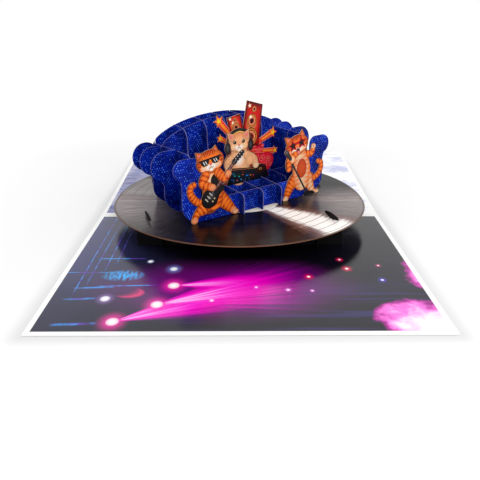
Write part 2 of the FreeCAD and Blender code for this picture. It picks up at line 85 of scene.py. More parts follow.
class NodeWeb:
    """Adds nodes to one tree. Each call takes values or outputs and returns the new node's output."""

    def __init__(self, tree):
        self.tree = tree

    def add(self, kind, inputs=(), output=0, **settings):
        node = self.tree.nodes.new(kind)
        for name, value in settings.items():
            setattr(node, name, value)
        for place, value in dict(inputs).items():
            if isinstance(value, bpy.types.NodeSocket):
                self.tree.links.new(value, node.inputs[place])
            else:
                node.inputs[place].default_value = value
        return node.outputs[output]

    def maths(self, operation, *values, clamp=False):
        return self.add("ShaderNodeMath", enumerate(values), operation=operation, use_clamp=clamp)

    def vector(self, operation, *values, output=0):
        return self.add("ShaderNodeVectorMath", enumerate(values), output=output, operation=operation)

    def axes(self, vector):
        """The three parts of a vector."""
        first = self.add("ShaderNodeSeparateXYZ", {0: vector})
        return tuple(first.node.outputs)

    def place(self, x, y, z=0.0):
        return self.add("ShaderNodeCombineXYZ", {0: x, 1: y, 2: z})

    def mix(self, factor, first, second):
        return self.add("ShaderNodeMix", {0: factor, 6: first, 7: second}, output=2, data_type="RGBA")

    def blend(self, factor, first, second):
        return self.add("ShaderNodeMix", {0: factor, 2: first, 3: second}, data_type="FLOAT")

    def smooth(self, value, low, high, start=0.0, stop=1.0):
        """Smooth step of the value from low to high."""
        return self.add("ShaderNodeMapRange", {0: value, 1: low, 2: high, 3: start, 4: stop},
                        interpolation_type="SMOOTHSTEP")

    def noise(self, vector, scale=1.0, detail=2.0, roughness=0.5, distortion=0.0):
        return self.add("ShaderNodeTexNoise", {"Vector": vector, "Scale": scale, "Detail": detail,
                                               "Roughness": roughness, "Distortion": distortion})

    def moved(self, vector, shift=(0.0, 0.0, 0.0), turn=(0.0, 0.0, 0.0), scale=(1.0, 1.0, 1.0)):
        return self.add("ShaderNodeMapping", {0: vector, 1: shift, 2: turn, 3: scale})

    def group(self, name, inputs=(), output=0):
        """A copy of a shader node group from this file."""
        return self.add("ShaderNodeGroup", inputs, output, node_tree=shader_group(name))

    def millimetres(self):
        """Object coordinates in millimetres."""
        spot = self.add("ShaderNodeTexCoord").node.outputs["Object"]
        return self.vector("MULTIPLY", spot, (1000.0, 1000.0, 1000.0))

    def facing(self, direction):
        """How far the surface faces a direction of the object, from -1 to 1."""
        normal = self.add("ShaderNodeTexCoord").node.outputs["Normal"]
        return self.vector("DOT_PRODUCT", normal, direction, output=1)

    def seen(self):
        """1 for rays that bring a picture: from the camera, off a glossy surface or through a clear one."""
        rays = self.add("ShaderNodeLightPath").node
        bent = self.maths("MAXIMUM", rays.outputs["Is Glossy Ray"], rays.outputs["Is Transmission Ray"])
        return self.maths("MAXIMUM", rays.outputs["Is Camera Ray"], bent)


def card_grain(web, inputs):
    """Paper fibre: fine and broad noise give a shade near 1 and a height."""
    fine = web.noise(inputs["Place"], inputs["Fibres"], 4.0, 0.6)
    broad = web.noise(inputs["Place"], 0.045, 2.0)
    depth = web.maths("SUBTRACT", fine, 0.5)
    shade = web.maths("MULTIPLY_ADD", depth, inputs["Strength"], 1.0)
    height = web.maths("MULTIPLY_ADD", broad, 6.0, fine)
    return {"Shade": shade, "Height": height}


def cut_edge(web, inputs):
    """Mask of the cut edges of a sheet: 1 where the surface doesn't face along the sheet's axis."""
    across = web.maths("ABSOLUTE", web.facing(inputs["Axis"]))
    return {"Mask": web.smooth(across, 0.75, 0.55)}


def smudged_gloss(web, inputs):
    """Roughness of a glossy laminate with faint smudges and rubbed patches."""
    cloud = web.noise(inputs["Place"], 0.09, 3.0, 0.6)
    speck = web.noise(inputs["Place"], 1.7, 2.0)
    change = web.maths("MULTIPLY_ADD", web.maths("SUBTRACT", speck, 0.5), 0.35,
                       web.maths("SUBTRACT", cloud, 0.5))
    rough = web.maths("MULTIPLY_ADD", change, inputs["Spread"], inputs["Middle"])
    return {"Roughness": web.maths("MAXIMUM", rough, 0.03)}


def woven_flecks(web, inputs):
    """Printed weave: short dashes in bricked rows, each with its own length and paleness."""
    along, skip, up = web.axes(inputs["Place"])
    row_share = web.maths("DIVIDE", up, inputs["Row"])
    row = web.maths("FLOOR", row_share)
    stagger = web.maths("FRACT", web.maths("MULTIPLY", row, 0.5))
    cell_share = web.maths("ADD", web.maths("DIVIDE", along, inputs["Step"]), stagger)
    cell = web.maths("FLOOR", cell_share)
    spot = web.place(cell, row)
    chance = web.add("ShaderNodeTexWhiteNoise", {"Vector": spot}, noise_dimensions="2D")
    second = web.add("ShaderNodeTexWhiteNoise", {"Vector": web.moved(spot, (7.3, 3.1, 0.0))},
                     noise_dimensions="2D")
    from_middle = web.maths("ABSOLUTE", web.maths("SUBTRACT", web.maths("FRACT", cell_share), 0.5))
    from_row = web.maths("ABSOLUTE", web.maths("SUBTRACT", web.maths("FRACT", row_share), 0.5))
    half = web.maths("MULTIPLY_ADD", second, 0.16, 0.12)
    reach = web.maths("SUBTRACT", half, from_middle)
    dash = web.maths("MULTIPLY", web.smooth(reach, -0.06, 0.08), web.smooth(from_row, 0.38, 0.16))
    shown = web.smooth(chance, 0.2, 1.0, 0.08, 1.0)
    return {"Mask": web.maths("MULTIPLY", dash, shown)}


def glow_spot(web, inputs):
    """Soft round light: 1 at the centre, 0 at the reach."""
    gap = web.vector("DIVIDE", web.vector("SUBTRACT", inputs["Place"], inputs["Centre"]), inputs["Reach"])
    far = web.vector("LENGTH", gap, output=1)
    near = web.smooth(far, 1.0, 0.0)
    return {"Mask": web.maths("POWER", near, inputs["Falloff"])}


def light_fan(web, inputs):
    """Fan of stage light from a lamp: streaks by angle, fading to the sides and along its length."""
    gap = web.vector("SUBTRACT", inputs["Place"], inputs["Lamp"])
    x, y, z = web.axes(gap)
    far = web.vector("LENGTH", gap, output=1)
    angle = web.maths("SUBTRACT", web.maths("ARCTAN2", y, x), inputs["Angle"])
    side = web.smooth(web.maths("DIVIDE", web.maths("ABSOLUTE", angle), inputs["Spread"]), 1.0, 0.0)
    wide = web.noise(web.place(web.maths("MULTIPLY", angle, 22.0), inputs["Seed"]), 1.0, 3.0, 0.7)
    streak = web.smooth(wide, 0.3, 0.68, 0.42, 1.0)
    fade = web.smooth(far, inputs["Length"], 0.0)
    start = web.smooth(far, 0.0, 5.0)
    fan = web.maths("MULTIPLY", web.maths("MULTIPLY", side, streak), web.maths("MULTIPLY", fade, start))
    return {"Fan": fan}


def thin_line(web, inputs):
    """Straight line of light through a point at an angle, broken up by noise along it."""
    gap = web.vector("SUBTRACT", inputs["Place"], inputs["Start"])
    x, y, z = web.axes(gap)
    run = web.maths("ADD", web.maths("MULTIPLY", x, web.maths("COSINE", inputs["Angle"])),
                    web.maths("MULTIPLY", y, web.maths("SINE", inputs["Angle"])))
    off = web.maths("SUBTRACT", web.maths("MULTIPLY", y, web.maths("COSINE", inputs["Angle"])),
                    web.maths("MULTIPLY", x, web.maths("SINE", inputs["Angle"])))
    thin = web.smooth(web.maths("ABSOLUTE", off), inputs["Width"], 0.0)
    part = web.noise(web.place(web.maths("MULTIPLY", run, 0.16), inputs["Width"]), 1.0, 2.0)
    middle = web.smooth(web.maths("ABSOLUTE", web.maths("DIVIDE", run, inputs["Half Length"])), 1.0, 0.75)
    return {"Mask": web.maths("MULTIPLY", web.maths("MULTIPLY", thin, middle),
                              web.smooth(part, 0.3, 0.55, 0.35, 1.0))}


def pressed_grooves(web, inputs):
    """Record grooves: a sine of the radius and bands of its own noise give a height and a shade."""
    far = inputs["Radius"]
    wave = web.maths("SINE", web.maths("MULTIPLY", far, web.maths("DIVIDE", 2 * math.pi, inputs["Pitch"])))
    band = web.noise(web.place(far, 0.0), 1.1, 4.0, 0.7)
    track = web.noise(web.place(far, 5.0), 0.16, 2.0)
    shade = web.maths("MULTIPLY_ADD", band, 0.8, web.smooth(track, 0.35, 0.65, 0.0, 0.5))
    return {"Height": web.maths("MULTIPLY_ADD", band, 0.8, wave), "Shade": shade}


GROUPS = {
    "card grain": (card_grain, {"Place": "V", "Fibres": 2.2, "Strength": 0.1}, {"Shade": "F", "Height": "F"}),
    "cut edge": (cut_edge, {"Axis": "V"}, {"Mask": "F"}),
    "smudged gloss": (smudged_gloss, {"Place": "V", "Middle": 0.2, "Spread": 0.1}, {"Roughness": "F"}),
    "woven flecks": (woven_flecks, {"Place": "V", "Step": 1.8, "Row": 1.5}, {"Mask": "F"}),
    "glow spot": (glow_spot, {"Place": "V", "Centre": "V", "Reach": "V", "Falloff": 1.0}, {"Mask": "F"}),
    "light fan": (light_fan,
                  {"Place": "V", "Lamp": "V", "Angle": 0.0, "Spread": 0.3, "Length": 100.0, "Seed": 0.0},
                  {"Fan": "F"}),
    "thin line": (thin_line, {"Place": "V", "Start": "V", "Angle": 0.0, "Width": 0.4, "Half Length": 40.0},
                  {"Mask": "F"}),
    "pressed grooves": (pressed_grooves, {"Radius": 0.0, "Pitch": 0.9}, {"Height": "F", "Shade": "F"}),
}


def shader_group(name):
    """The shader node group of that name, made the first time it is asked for."""
    found = bpy.data.node_groups.get(name)
    if found:
        return found
    fill, inputs, outputs = GROUPS[name]
    tree = bpy.data.node_groups.new(name, "ShaderNodeTree")
    for label, value in inputs.items():
        kind = "NodeSocketVector" if value == "V" else "NodeSocketFloat"
        socket = tree.interface.new_socket(name=label, in_out="INPUT", socket_type=kind)
        if value != "V":
            socket.default_value = value
    for label in outputs:
        tree.interface.new_socket(name=label, in_out="OUTPUT", socket_type="NodeSocketFloat")
    start = tree.nodes.new("NodeGroupInput")
    results = fill(NodeWeb(tree), {label: start.outputs[label] for label in inputs})
    end = tree.nodes.new("NodeGroupOutput")
    for label, value in results.items():
        tree.links.new(value, end.inputs[label])
    return tree


def new_material(name, **settings):
    """Material with a Principled shader that has the given plain settings, its web and its shader node."""
    material = bpy.data.materials.new(name)
    material.use_nodes = True
    shader = material.node_tree.nodes["Principled BSDF"]
    for label, value in settings.items():
        shader.inputs[label.replace("_", " ")].default_value = value
    return material, NodeWeb(material.node_tree), shader


def link(web, value, shader, label):
    web.tree.links.new(value, shader.inputs[label])


def bump(web, shader, height, strength, distance):
    """Relief from a height, distance is in metres for a height of 1."""
    normal = web.add("ShaderNodeBump", {"Height": height, "Strength": strength, "Distance": distance})
    link(web, normal, shader, "Normal")


def dress(names, material):
    """Gives every slot of the named CAD nodes the material."""
    for name in names:
        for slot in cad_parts[name].material_slots:
            slot.material = material


# Settings that a user would change

class CardPrintSettings(bpy.types.PropertyGroup):
    border: bpy.props.FloatProperty(name="Border", description="White border round each printed panel, in mm",
                                    default=2.6, min=0.0)
    beam: bpy.props.FloatVectorProperty(name="Beams", description="Colour of the stage light",
                                        subtype="COLOR", default=ink(236, 0, 186))
    night: bpy.props.FloatVectorProperty(name="Night", description="Darkest colour of the print",
                                         subtype="COLOR", default=ink(20, 20, 30))
    haze: bpy.props.FloatVectorProperty(name="Haze", description="Blue haze at the left of the print",
                                        subtype="COLOR", default=ink(74, 74, 134))
    line: bpy.props.FloatVectorProperty(name="Lines", description="Colour of the thin light lines",
                                        subtype="COLOR", default=ink(60, 160, 255))
    gloss: bpy.props.FloatProperty(name="Gloss", description="Roughness of the laminate", default=0.1,
                                   min=0.0, max=1.0, subtype="FACTOR")


class DiscSettings(bpy.types.PropertyGroup):
    label_radius: bpy.props.FloatProperty(name="Label radius", description="Radius of the paper label, in mm",
                                          default=27.5, min=1.0)
    label: bpy.props.FloatVectorProperty(name="Label", description="Colour of the label", subtype="COLOR",
                                         default=ink(252, 242, 222))
    vinyl: bpy.props.FloatVectorProperty(name="Grooves", description="Colour of the grooved band",
                                         subtype="COLOR", default=ink(6, 5, 6))
    pitch: bpy.props.FloatProperty(name="Groove pitch", description="Distance between printed grooves, in mm",
                                   default=0.9, min=0.2)


class SofaSettings(bpy.types.PropertyGroup):
    royal: bpy.props.FloatVectorProperty(name="Royal", description="Lighter blue of the cover",
                                         subtype="COLOR", default=ink(3, 35, 164))
    navy: bpy.props.FloatVectorProperty(name="Navy", description="Darker blue of the cover", subtype="COLOR",
                                        default=ink(1, 4, 74))
    fleck: bpy.props.FloatVectorProperty(name="Flecks", description="Colour of the printed weave",
                                         subtype="COLOR", default=ink(86, 134, 248))
    core: bpy.props.FloatVectorProperty(name="Core", description="Colour of the cut edges", subtype="COLOR",
                                        default=ink(108, 102, 148))
    fleck_step: bpy.props.FloatProperty(name="Fleck step",
                                        description="Distance between flecks in a row, in mm",
                                        default=1.65, min=0.5)


class FigureSettings(bpy.types.PropertyGroup):
    fur: bpy.props.FloatVectorProperty(name="Fur", description="Orange fur", subtype="COLOR",
                                       default=ink(248, 116, 34))
    stripe: bpy.props.FloatVectorProperty(name="Stripes", description="Darker stripes of the fur",
                                          subtype="COLOR", default=ink(164, 34, 2))
    pale: bpy.props.FloatVectorProperty(name="Pale fur", description="Muzzle and paws", subtype="COLOR",
                                        default=ink(250, 204, 160))
    cream: bpy.props.FloatVectorProperty(name="Cream", description="Fur of the kitten", subtype="COLOR",
                                         default=ink(246, 178, 128))
    outline: bpy.props.FloatVectorProperty(name="Outline", description="Dark line round each figure",
                                           subtype="COLOR", default=ink(120, 46, 14))
    layer: bpy.props.FloatProperty(name="Layer", description="Distance between printed layers, in mm",
                                   default=0.012, min=0.005, max=0.05)


class StageSettings(bpy.types.PropertyGroup):
    floor: bpy.props.FloatVectorProperty(name="Floor", description="Colour of the floor", subtype="COLOR",
                                         default=(0.82, 0.82, 0.82))
    key: bpy.props.FloatProperty(name="Key light", description="Power of the soft lamp, in watts",
                                 default=4.4, min=0.0)
    fill: bpy.props.FloatProperty(name="Fill", description="Strength of the pale surroundings",
                                  default=0.9, min=0.0)
    lift: bpy.props.FloatProperty(name="Floor lift",
                                  description="Extra brightness of the floor as the camera sees it",
                                  default=0.11, min=0.0)


# Base card and disc

def card_print_material(settings):
    """Glossy printed card: white border, stage light over a dark ground with a painted shadow under the disc,
    plain white outside.
    """
    material, web, shader = new_material("laminated stage light print", IOR=1.5, Specular_IOR_Level=0.3)
    place = web.millimetres()
    x, y, z = web.axes(place)
    flat = web.place(x, y)

    def spot(centre, reach, falloff):
        return web.group("glow spot", {"Place": flat, "Centre": centre + (0.0,), "Reach": reach + (1.0,),
                                       "Falloff": falloff})

    cloud = web.noise(flat, 0.03, 4.0, 0.6)
    left = web.smooth(web.maths("MULTIPLY_ADD", cloud, 40.0, web.maths("MULTIPLY", x, -1.0)), 30.0, 120.0)
    depth = web.smooth(y, -150.0, 0.0, 0.15, 1.0)
    ground = web.mix(web.maths("MULTIPLY", left, depth), opaque(settings.night), opaque(settings.haze))
    right = web.smooth(x, 20.0, 95.0)
    ground = web.mix(web.maths("MULTIPLY", right, 0.7), ground, opaque(ink(20, 14, 40)))
    # Near black oval round and under the disc: partly the print's own dark, partly a painted shadow of the
    # disc.
    ground = web.mix(spot((6.0, -20.0), (112.0, 102.0), 0.4), ground, opaque(ink(3, 2, 5)))

    bands = web.noise(web.moved(flat, scale=(0.01, 0.2, 1.0)), 1.0, 2.0)
    front = web.smooth(y, -96.0, -118.0)
    bands = web.maths("MULTIPLY", web.smooth(bands, 0.48, 0.62),
                      web.maths("MULTIPLY", front, web.smooth(x, -50.0, 10.0)))
    ground = web.mix(web.maths("MULTIPLY", bands, 0.6), ground, opaque(ink(52, 44, 108)))

    wash = web.maths("MULTIPLY", spot((-8.0, -106.0), (78.0, 40.0), 0.8),
                     web.smooth(cloud, 0.2, 0.6, 0.6, 1.0))
    ground = web.mix(wash, ground, opaque(ink(120, 4, 124)))
    fans = ((-58.0, -140.0, 0.40, 0.42, 104.0, 1.0), (-40.0, -124.0, 0.32, 0.72, 104.0, 4.0),
            (-34.0, -104.0, 0.10, 0.50, 84.0, 9.0), (-58.0, -140.0, 0.62, 0.2, 120.0, 2.0),
            (-40.0, -124.0, 0.46, 0.34, 110.0, 6.0))
    light = None
    for lamp_x, lamp_y, angle, spread, length, seed in fans:
        fan = web.group("light fan", {"Place": flat, "Lamp": (lamp_x, lamp_y, 0.0), "Angle": angle,
                                      "Spread": spread, "Length": length, "Seed": seed})
        light = fan if light is None else web.maths("MAXIMUM", light, fan)
    ground = web.mix(web.smooth(light, 0.02, 0.26), ground, opaque(ink(120, 0, 124)))
    ground = web.mix(web.smooth(light, 0.12, 0.44), ground, opaque(settings.beam))
    ground = web.mix(web.smooth(light, 0.4, 0.66), ground, opaque(ink(255, 64, 222)))
    ground = web.mix(web.smooth(light, 0.58, 0.82), ground, opaque(ink(255, 206, 248)))

    lamps = [(lamp_x, lamp_y, 12.0, ink(255, 40, 176), 3.7) for lamp_x, lamp_y, *rest in fans[:3]]
    lamps += [(-66.0, -118.0, 8.0, ink(150, 120, 190), 3.0), (-36.0, -84.0, 8.0, ink(120, 130, 210), 2.6),
              (-50.0, -74.0, 4.0, ink(120, 130, 190), 2.0),
              (36.0, -94.0, 5.4, ink(235, 6, 90), 1.2), (58.0, -84.0, 5.4, ink(235, 6, 90), 1.3),
              (56.0, -72.0, 4.2, ink(225, 6, 90), 1.0), (74.0, -98.0, 4.0, ink(90, 70, 230), 1.1),
              (76.0, -80.0, 3.0, ink(220, 20, 120), 0.8), (24.0, -109.0, 3.4, ink(250, 120, 240), 1.0),
              (8.0, -106.0, 2.6, ink(250, 120, 240), 0.7), (36.0, -110.0, 2.6, ink(250, 120, 240), 0.7),
              (-14.0, -120.0, 2.6, ink(255, 180, 250), 0.9)]
    for lamp_x, lamp_y, reach, halo, core in lamps:
        ground = web.mix(spot((lamp_x, lamp_y), (reach * 0.8, reach), 1.5), ground, opaque(halo))
        ground = web.mix(spot((lamp_x, lamp_y), (core * 0.85, core), 0.3), ground, (1.0, 1.0, 1.0, 1.0))

    lines = None
    for line_x, line_y, angle, width, half in (
            (-83.0, -50.0, 1.57, 0.5, 70.0), (-78.5, -44.0, 1.565, 0.4, 62.0),
            (-73.0, -40.0, 1.57, 0.46, 50.0), (-68.5, -40.0, 1.575, 0.36, 40.0),
            (-66.0, -70.0, 0.0, 1.0, 14.0), (-74.0, -106.0, 0.06, 1.3, 11.0), (-78.0, -118.0, 0.06, 1.4, 9.0),
            (-75.0, -142.0, 0.05, 1.7, 11.0), (-80.0, -88.0, 0.0, 0.6, 20.0),
            (-58.0, -104.0, 0.04, 1.0, 16.0)):
        mark = web.group("thin line", {"Place": flat, "Start": (line_x, line_y, 0.0), "Angle": angle,
                                       "Width": width, "Half Length": half})
        lines = mark if lines is None else web.maths("MAXIMUM", lines, mark)
    tint = web.mix(web.smooth(web.noise(flat, 0.12, 1.0), 0.44, 0.56), opaque(settings.line),
                   opaque(ink(104, 66, 190)))
    ground = web.mix(web.maths("MULTIPLY", lines, 0.85), ground, tint)
    ripple = web.noise(web.moved(flat, turn=(0.0, 0.0, 0.5), scale=(1.0, 0.3, 1.0)), 0.6, 3.0)
    pool = web.maths("MULTIPLY", spot((-62.0, -92.0), (12.0, 7.0), 0.4), web.smooth(ripple, 0.35, 0.6))
    ground = web.mix(pool, ground, opaque(ink(40, 170, 250)))
    ring_out = spot((-55.0, -112.0), (7.6, 5.4), 0.25)
    ring_in = spot((-57.0, -110.8), (7.0, 5.0), 0.25)
    ground = web.mix(web.maths("SUBTRACT", ring_out, ring_in, clamp=True), ground, opaque(ink(250, 60, 130)))

    puff = web.noise(flat, 0.05, 5.0, 0.55)
    for cloud_x, cloud_y, reach_x, reach_y in ((98.0, -149.0, 50.0, 45.0), (105.0, -88.0, 26.0, 34.0)):
        body = spot((cloud_x, cloud_y), (reach_x, reach_y), 0.8)
        dense = web.maths("ADD", web.maths("MULTIPLY", body, 1.25),
                          web.maths("MULTIPLY_ADD", puff, 1.8, -0.9))
        dense = web.maths("MULTIPLY", dense, web.smooth(body, 0.02, 0.22))
        ground = web.mix(web.smooth(dense, 0.2, 0.36, 0.0, 0.85), ground, opaque(ink(176, 16, 150)))
        ground = web.mix(web.smooth(dense, 0.32, 0.56), ground, opaque(ink(252, 110, 220)))
        ground = web.mix(web.smooth(dense, 0.5, 0.9), ground, opaque(ink(255, 240, 255)))

    veil = web.smooth(web.noise(web.moved(flat, (0.0, 30.0, 0.0)), 0.02, 5.0, 0.62), 0.36, 0.66)
    far = web.mix(veil, opaque(ink(84, 86, 150)), opaque(ink(176, 182, 240)))
    rays = web.noise(web.moved(flat, turn=(0.0, 0.0, 0.5), scale=(0.02, 0.22, 1.0)), 1.0, 2.0)
    far = web.mix(web.smooth(rays, 0.54, 0.68, 0.0, 0.7), far, opaque(ink(214, 218, 252)))
    drift = web.smooth(web.noise(web.moved(flat, (12.0, 5.0, 0.0), scale=(1.0, 1.6, 1.0)), 0.032, 6.0,
                                 0.66), 0.4, 0.58)
    drift = web.maths("MULTIPLY", drift,
                      web.maths("ADD", web.smooth(x, 20.0, 66.0), web.smooth(x, -60.0, -95.0, 0.0, 0.3)))
    far = web.mix(web.smooth(x, -20.0, -80.0, 0.0, 0.6), far, opaque(ink(70, 74, 140)))
    far = web.mix(web.smooth(x, 20.0, 80.0, 0.0, 0.6), far, opaque(ink(226, 228, 253)))
    far = web.mix(drift, far, (1.0, 1.0, 1.0, 1.0))
    print_colour = web.mix(web.smooth(y, 4.0, 5.0), ground, far)

    inside = web.maths("LESS_THAN", web.maths("ABSOLUTE", x), CARD_HALF_WIDTH - settings.border)
    spine_end = SPINE_WIDTH + 1.5
    back_edge = SPINE_WIDTH + PANEL_DEPTH * math.cos(BACK_TILT)
    first = web.maths("MULTIPLY", web.maths("GREATER_THAN", y, settings.border - PANEL_DEPTH),
                      web.maths("LESS_THAN", y, 0.6))
    second = web.maths("MULTIPLY", web.maths("GREATER_THAN", y, spine_end),
                       web.maths("LESS_THAN", y, back_edge - settings.border))
    top = web.maths("GREATER_THAN", web.facing((0.0, 0.0, 1.0)), 0.5)
    printed = web.maths("MULTIPLY", web.maths("MULTIPLY", inside, web.maths("ADD", first, second)), top)
    grain = web.group("card grain", {"Place": place, "Fibres": 3.0, "Strength": 0.05})
    paper = web.vector("SCALE", (0.96, 0.96, 0.95))
    web.tree.links.new(grain, paper.node.inputs["Scale"])
    colour = web.mix(printed, paper, print_colour)
    link(web, colour, shader, "Base Color")
    smudge = web.group("smudged gloss", {"Place": place, "Middle": settings.gloss, "Spread": 0.08})
    link(web, web.blend(top, 0.6, smudge), shader, "Roughness")
    height = web.group("card grain", {"Place": place, "Fibres": 3.0}, output="Height")
    bump(web, shader, height, 0.25, 0.00012)
    return material


def disc_material(settings):
    """Printed record: dark grooves, bright reflections in print, painted reflections of the room at the left
    and right, a painted highlight along the fold, a pale label and a bare cut edge.
    """
    material, web, shader = new_material("printed record", IOR=1.5, Specular_IOR_Level=0.11)
    place = web.millimetres()
    x, y, z = web.axes(place)
    radius = web.vector("LENGTH", web.place(x, y), output=1)
    angle = web.maths("MULTIPLY", web.maths("ARCTAN2", y, x), 180 / math.pi)
    height = web.group("pressed grooves", {"Radius": radius, "Pitch": settings.pitch})
    shade = web.group("pressed grooves", {"Radius": radius, "Pitch": settings.pitch}, output="Shade")
    colour = web.mix(web.smooth(shade, 0.3, 1.0), opaque(settings.vinyl), opaque(ink(22, 19, 19)))

    thread = web.noise(web.place(web.maths("MULTIPLY", radius, 1.4), web.maths("MULTIPLY", angle, 0.02)),
                       1.0, 3.0, 0.8)
    brush = web.noise(web.place(web.maths("MULTIPLY", angle, 1.3), web.maths("MULTIPLY", radius, 0.05)),
                      1.0, 4.0, 0.7)
    track = web.maths("ABSOLUTE",
                      web.maths("SUBTRACT", web.maths("FRACT", web.maths("DIVIDE", radius, 6.4)), 0.5))
    arcs = web.smooth(track, 0.025, 0.055, 0.12, 1.0)
    streak = web.smooth(brush, 0.34, 0.66, 0.45, 1.1)
    # Painted reflection of the pale room: warm grey streaks towards the left and right edges, faded towards the
    # back and the front.
    front = web.maths("MULTIPLY", web.smooth(y, 30.0, 2.0, 0.05, 1.0), web.smooth(y, -58.0, -16.0, 0.3, 1.0))
    for low, high in ((-24.0, -76.0), (34.0, 78.0)):
        painted_room_reflection = web.maths("MULTIPLY", web.maths("MULTIPLY", web.smooth(x, low, high), streak), front)
        colour = web.mix(painted_room_reflection, colour, opaque(ink(150, 138, 138)))
    # Painted highlight: a pale streaked band along the fold near the left and right ends.
    fold = web.maths("MULTIPLY", web.smooth(web.maths("ABSOLUTE", y), 9.0, 0.5),
                     web.smooth(web.maths("ABSOLUTE", x), 38.0, 62.0))
    colour = web.mix(web.maths("MULTIPLY", fold, web.smooth(brush, 0.45, 0.7, 0.1, 0.6)), colour,
                     opaque(ink(214, 196, 192)))
    for middle, half, brown_half, strength in ((-43.0, 11.0, 19.0, 1.0), (160.0, 14.0, 30.0, 0.22)):
        turn = web.maths("ABSOLUTE", web.maths("SUBTRACT", angle, middle))
        turn = web.maths("MULTIPLY_ADD", web.maths("SUBTRACT", thread, 0.5), 14.0, turn)
        turn = web.maths("MULTIPLY_ADD", web.maths("SUBTRACT", brush, 0.5), 12.0, turn)
        brown = web.maths("MULTIPLY", web.smooth(turn, brown_half, half), 0.75 * strength)
        white = web.maths("MULTIPLY", web.smooth(turn, half + 1.0, half - 4.5), strength)
        colour = web.mix(brown, colour, opaque(ink(132, 98, 90)))
        colour = web.mix(web.maths("MULTIPLY", white, arcs), colour, opaque(ink(255, 250, 244)))
    rim = web.smooth(radius, DISC_RADIUS - 1.4, DISC_RADIUS - 0.7)
    colour = web.mix(web.maths("MULTIPLY", rim, 0.8), colour, opaque(ink(80, 58, 48)))

    label_edge = web.smooth(radius, settings.label_radius + 0.15, settings.label_radius - 0.15)
    ringed = web.smooth(web.maths("ABSOLUTE", web.maths("SUBTRACT", radius, settings.label_radius - 2.2)),
                        0.35, 0.15)
    label = web.mix(web.maths("MULTIPLY", ringed, 0.3), opaque(settings.label), opaque(ink(206, 170, 120)))
    hole = web.smooth(radius, 3.6, 3.4)
    label = web.mix(hole, label, opaque(ink(24, 20, 20)))
    colour = web.mix(label_edge, colour, label)
    score = web.smooth(web.maths("ABSOLUTE", y), 0.45, 0.2)
    dashes = web.smooth(web.maths("FRACT", web.maths("DIVIDE", x, 1.6)), 0.35, 0.6)
    colour = web.mix(web.maths("MULTIPLY", score, web.maths("MULTIPLY_ADD", dashes, 0.5, 0.35)), colour,
                     opaque(ink(48, 36, 30)))
    up = web.facing((0.0, 0.0, 1.0))
    edge = web.group("cut edge", {"Axis": (0.0, 0.0, 1.0)})
    colour = web.mix(edge, colour, opaque(ink(122, 86, 64)))
    colour = web.mix(web.maths("LESS_THAN", up, -0.5), colour, opaque(ink(10, 10, 11)))
    link(web, colour, shader, "Base Color")
    smudge = web.group("smudged gloss", {"Place": place, "Middle": 0.2, "Spread": 0.1})
    link(web, web.blend(edge, smudge, 0.7), shader, "Roughness")
    bump(web, shader, height, 0.2, 0.00002)
    return material


def black_card_material():
    """Dyed black card with grey fibres and a slightly paler cut edge."""
    material, web, shader = new_material("black card", IOR=1.45, Specular_IOR_Level=0.15)
    place = web.millimetres()
    grain = web.group("card grain", {"Place": place, "Fibres": 2.6})
    speck = web.smooth(web.noise(place, 3.5, 3.0, 0.7), 0.6, 0.75, 0.0, 0.3)
    colour = web.mix(speck, opaque(ink(8, 7, 8)), opaque(ink(44, 40, 38)))
    link(web, colour, shader, "Base Color")
    link(web, web.maths("MULTIPLY", grain, 0.6), shader, "Roughness")
    bump(web, shader, web.group("card grain", {"Place": place, "Fibres": 2.6}, output="Height"), 0.3, 0.00003)
    return material


def sofa_cover(web, settings, place, axis):
    """Blue woven print and the bare cut edge of a sheet whose axis is given: colour and edge mask."""
    cloud = web.noise(place, 0.085, 3.0, 0.55)
    weave = web.noise(web.moved(place, scale=(0.8, 1.0, 2.2)), 0.9, 3.0, 0.7)
    tone = web.maths("MULTIPLY_ADD", weave, 0.5, web.maths("MULTIPLY", cloud, 0.7))
    colour = web.mix(web.smooth(tone, 0.4, 0.78), opaque(settings.navy), opaque(settings.royal))
    step = settings.fleck_step
    flecks = web.group("woven flecks", {"Place": place, "Step": step, "Row": step * 0.83})
    colour = web.mix(web.maths("MULTIPLY", flecks, web.smooth(cloud, 0.3, 0.65, 0.45, 0.95)), colour,
                     opaque(settings.fleck))
    edge = web.group("cut edge", {"Axis": axis})
    return web.mix(edge, colour, opaque(settings.core)), edge


def sofa_material(settings, name, angle):
    """Woven print for the sheets that run at an angle."""
    material, web, shader = new_material(name, IOR=1.45, Specular_IOR_Level=0.07)
    place = web.moved(web.millimetres(), turn=(0.0, 0.0, -angle))
    axis = (-math.sin(angle), math.cos(angle), 0.0)
    colour, edge = sofa_cover(web, settings, place, axis)
    link(web, colour, shader, "Base Color")
    smudge = web.group("smudged gloss", {"Place": place, "Middle": 0.42, "Spread": 0.12})
    link(web, web.blend(edge, smudge, 0.8), shader, "Roughness")
    bump(web, shader, web.group("card grain", {"Place": place, "Fibres": 2.0}, output="Height"), 0.3, 0.00004)
    return material


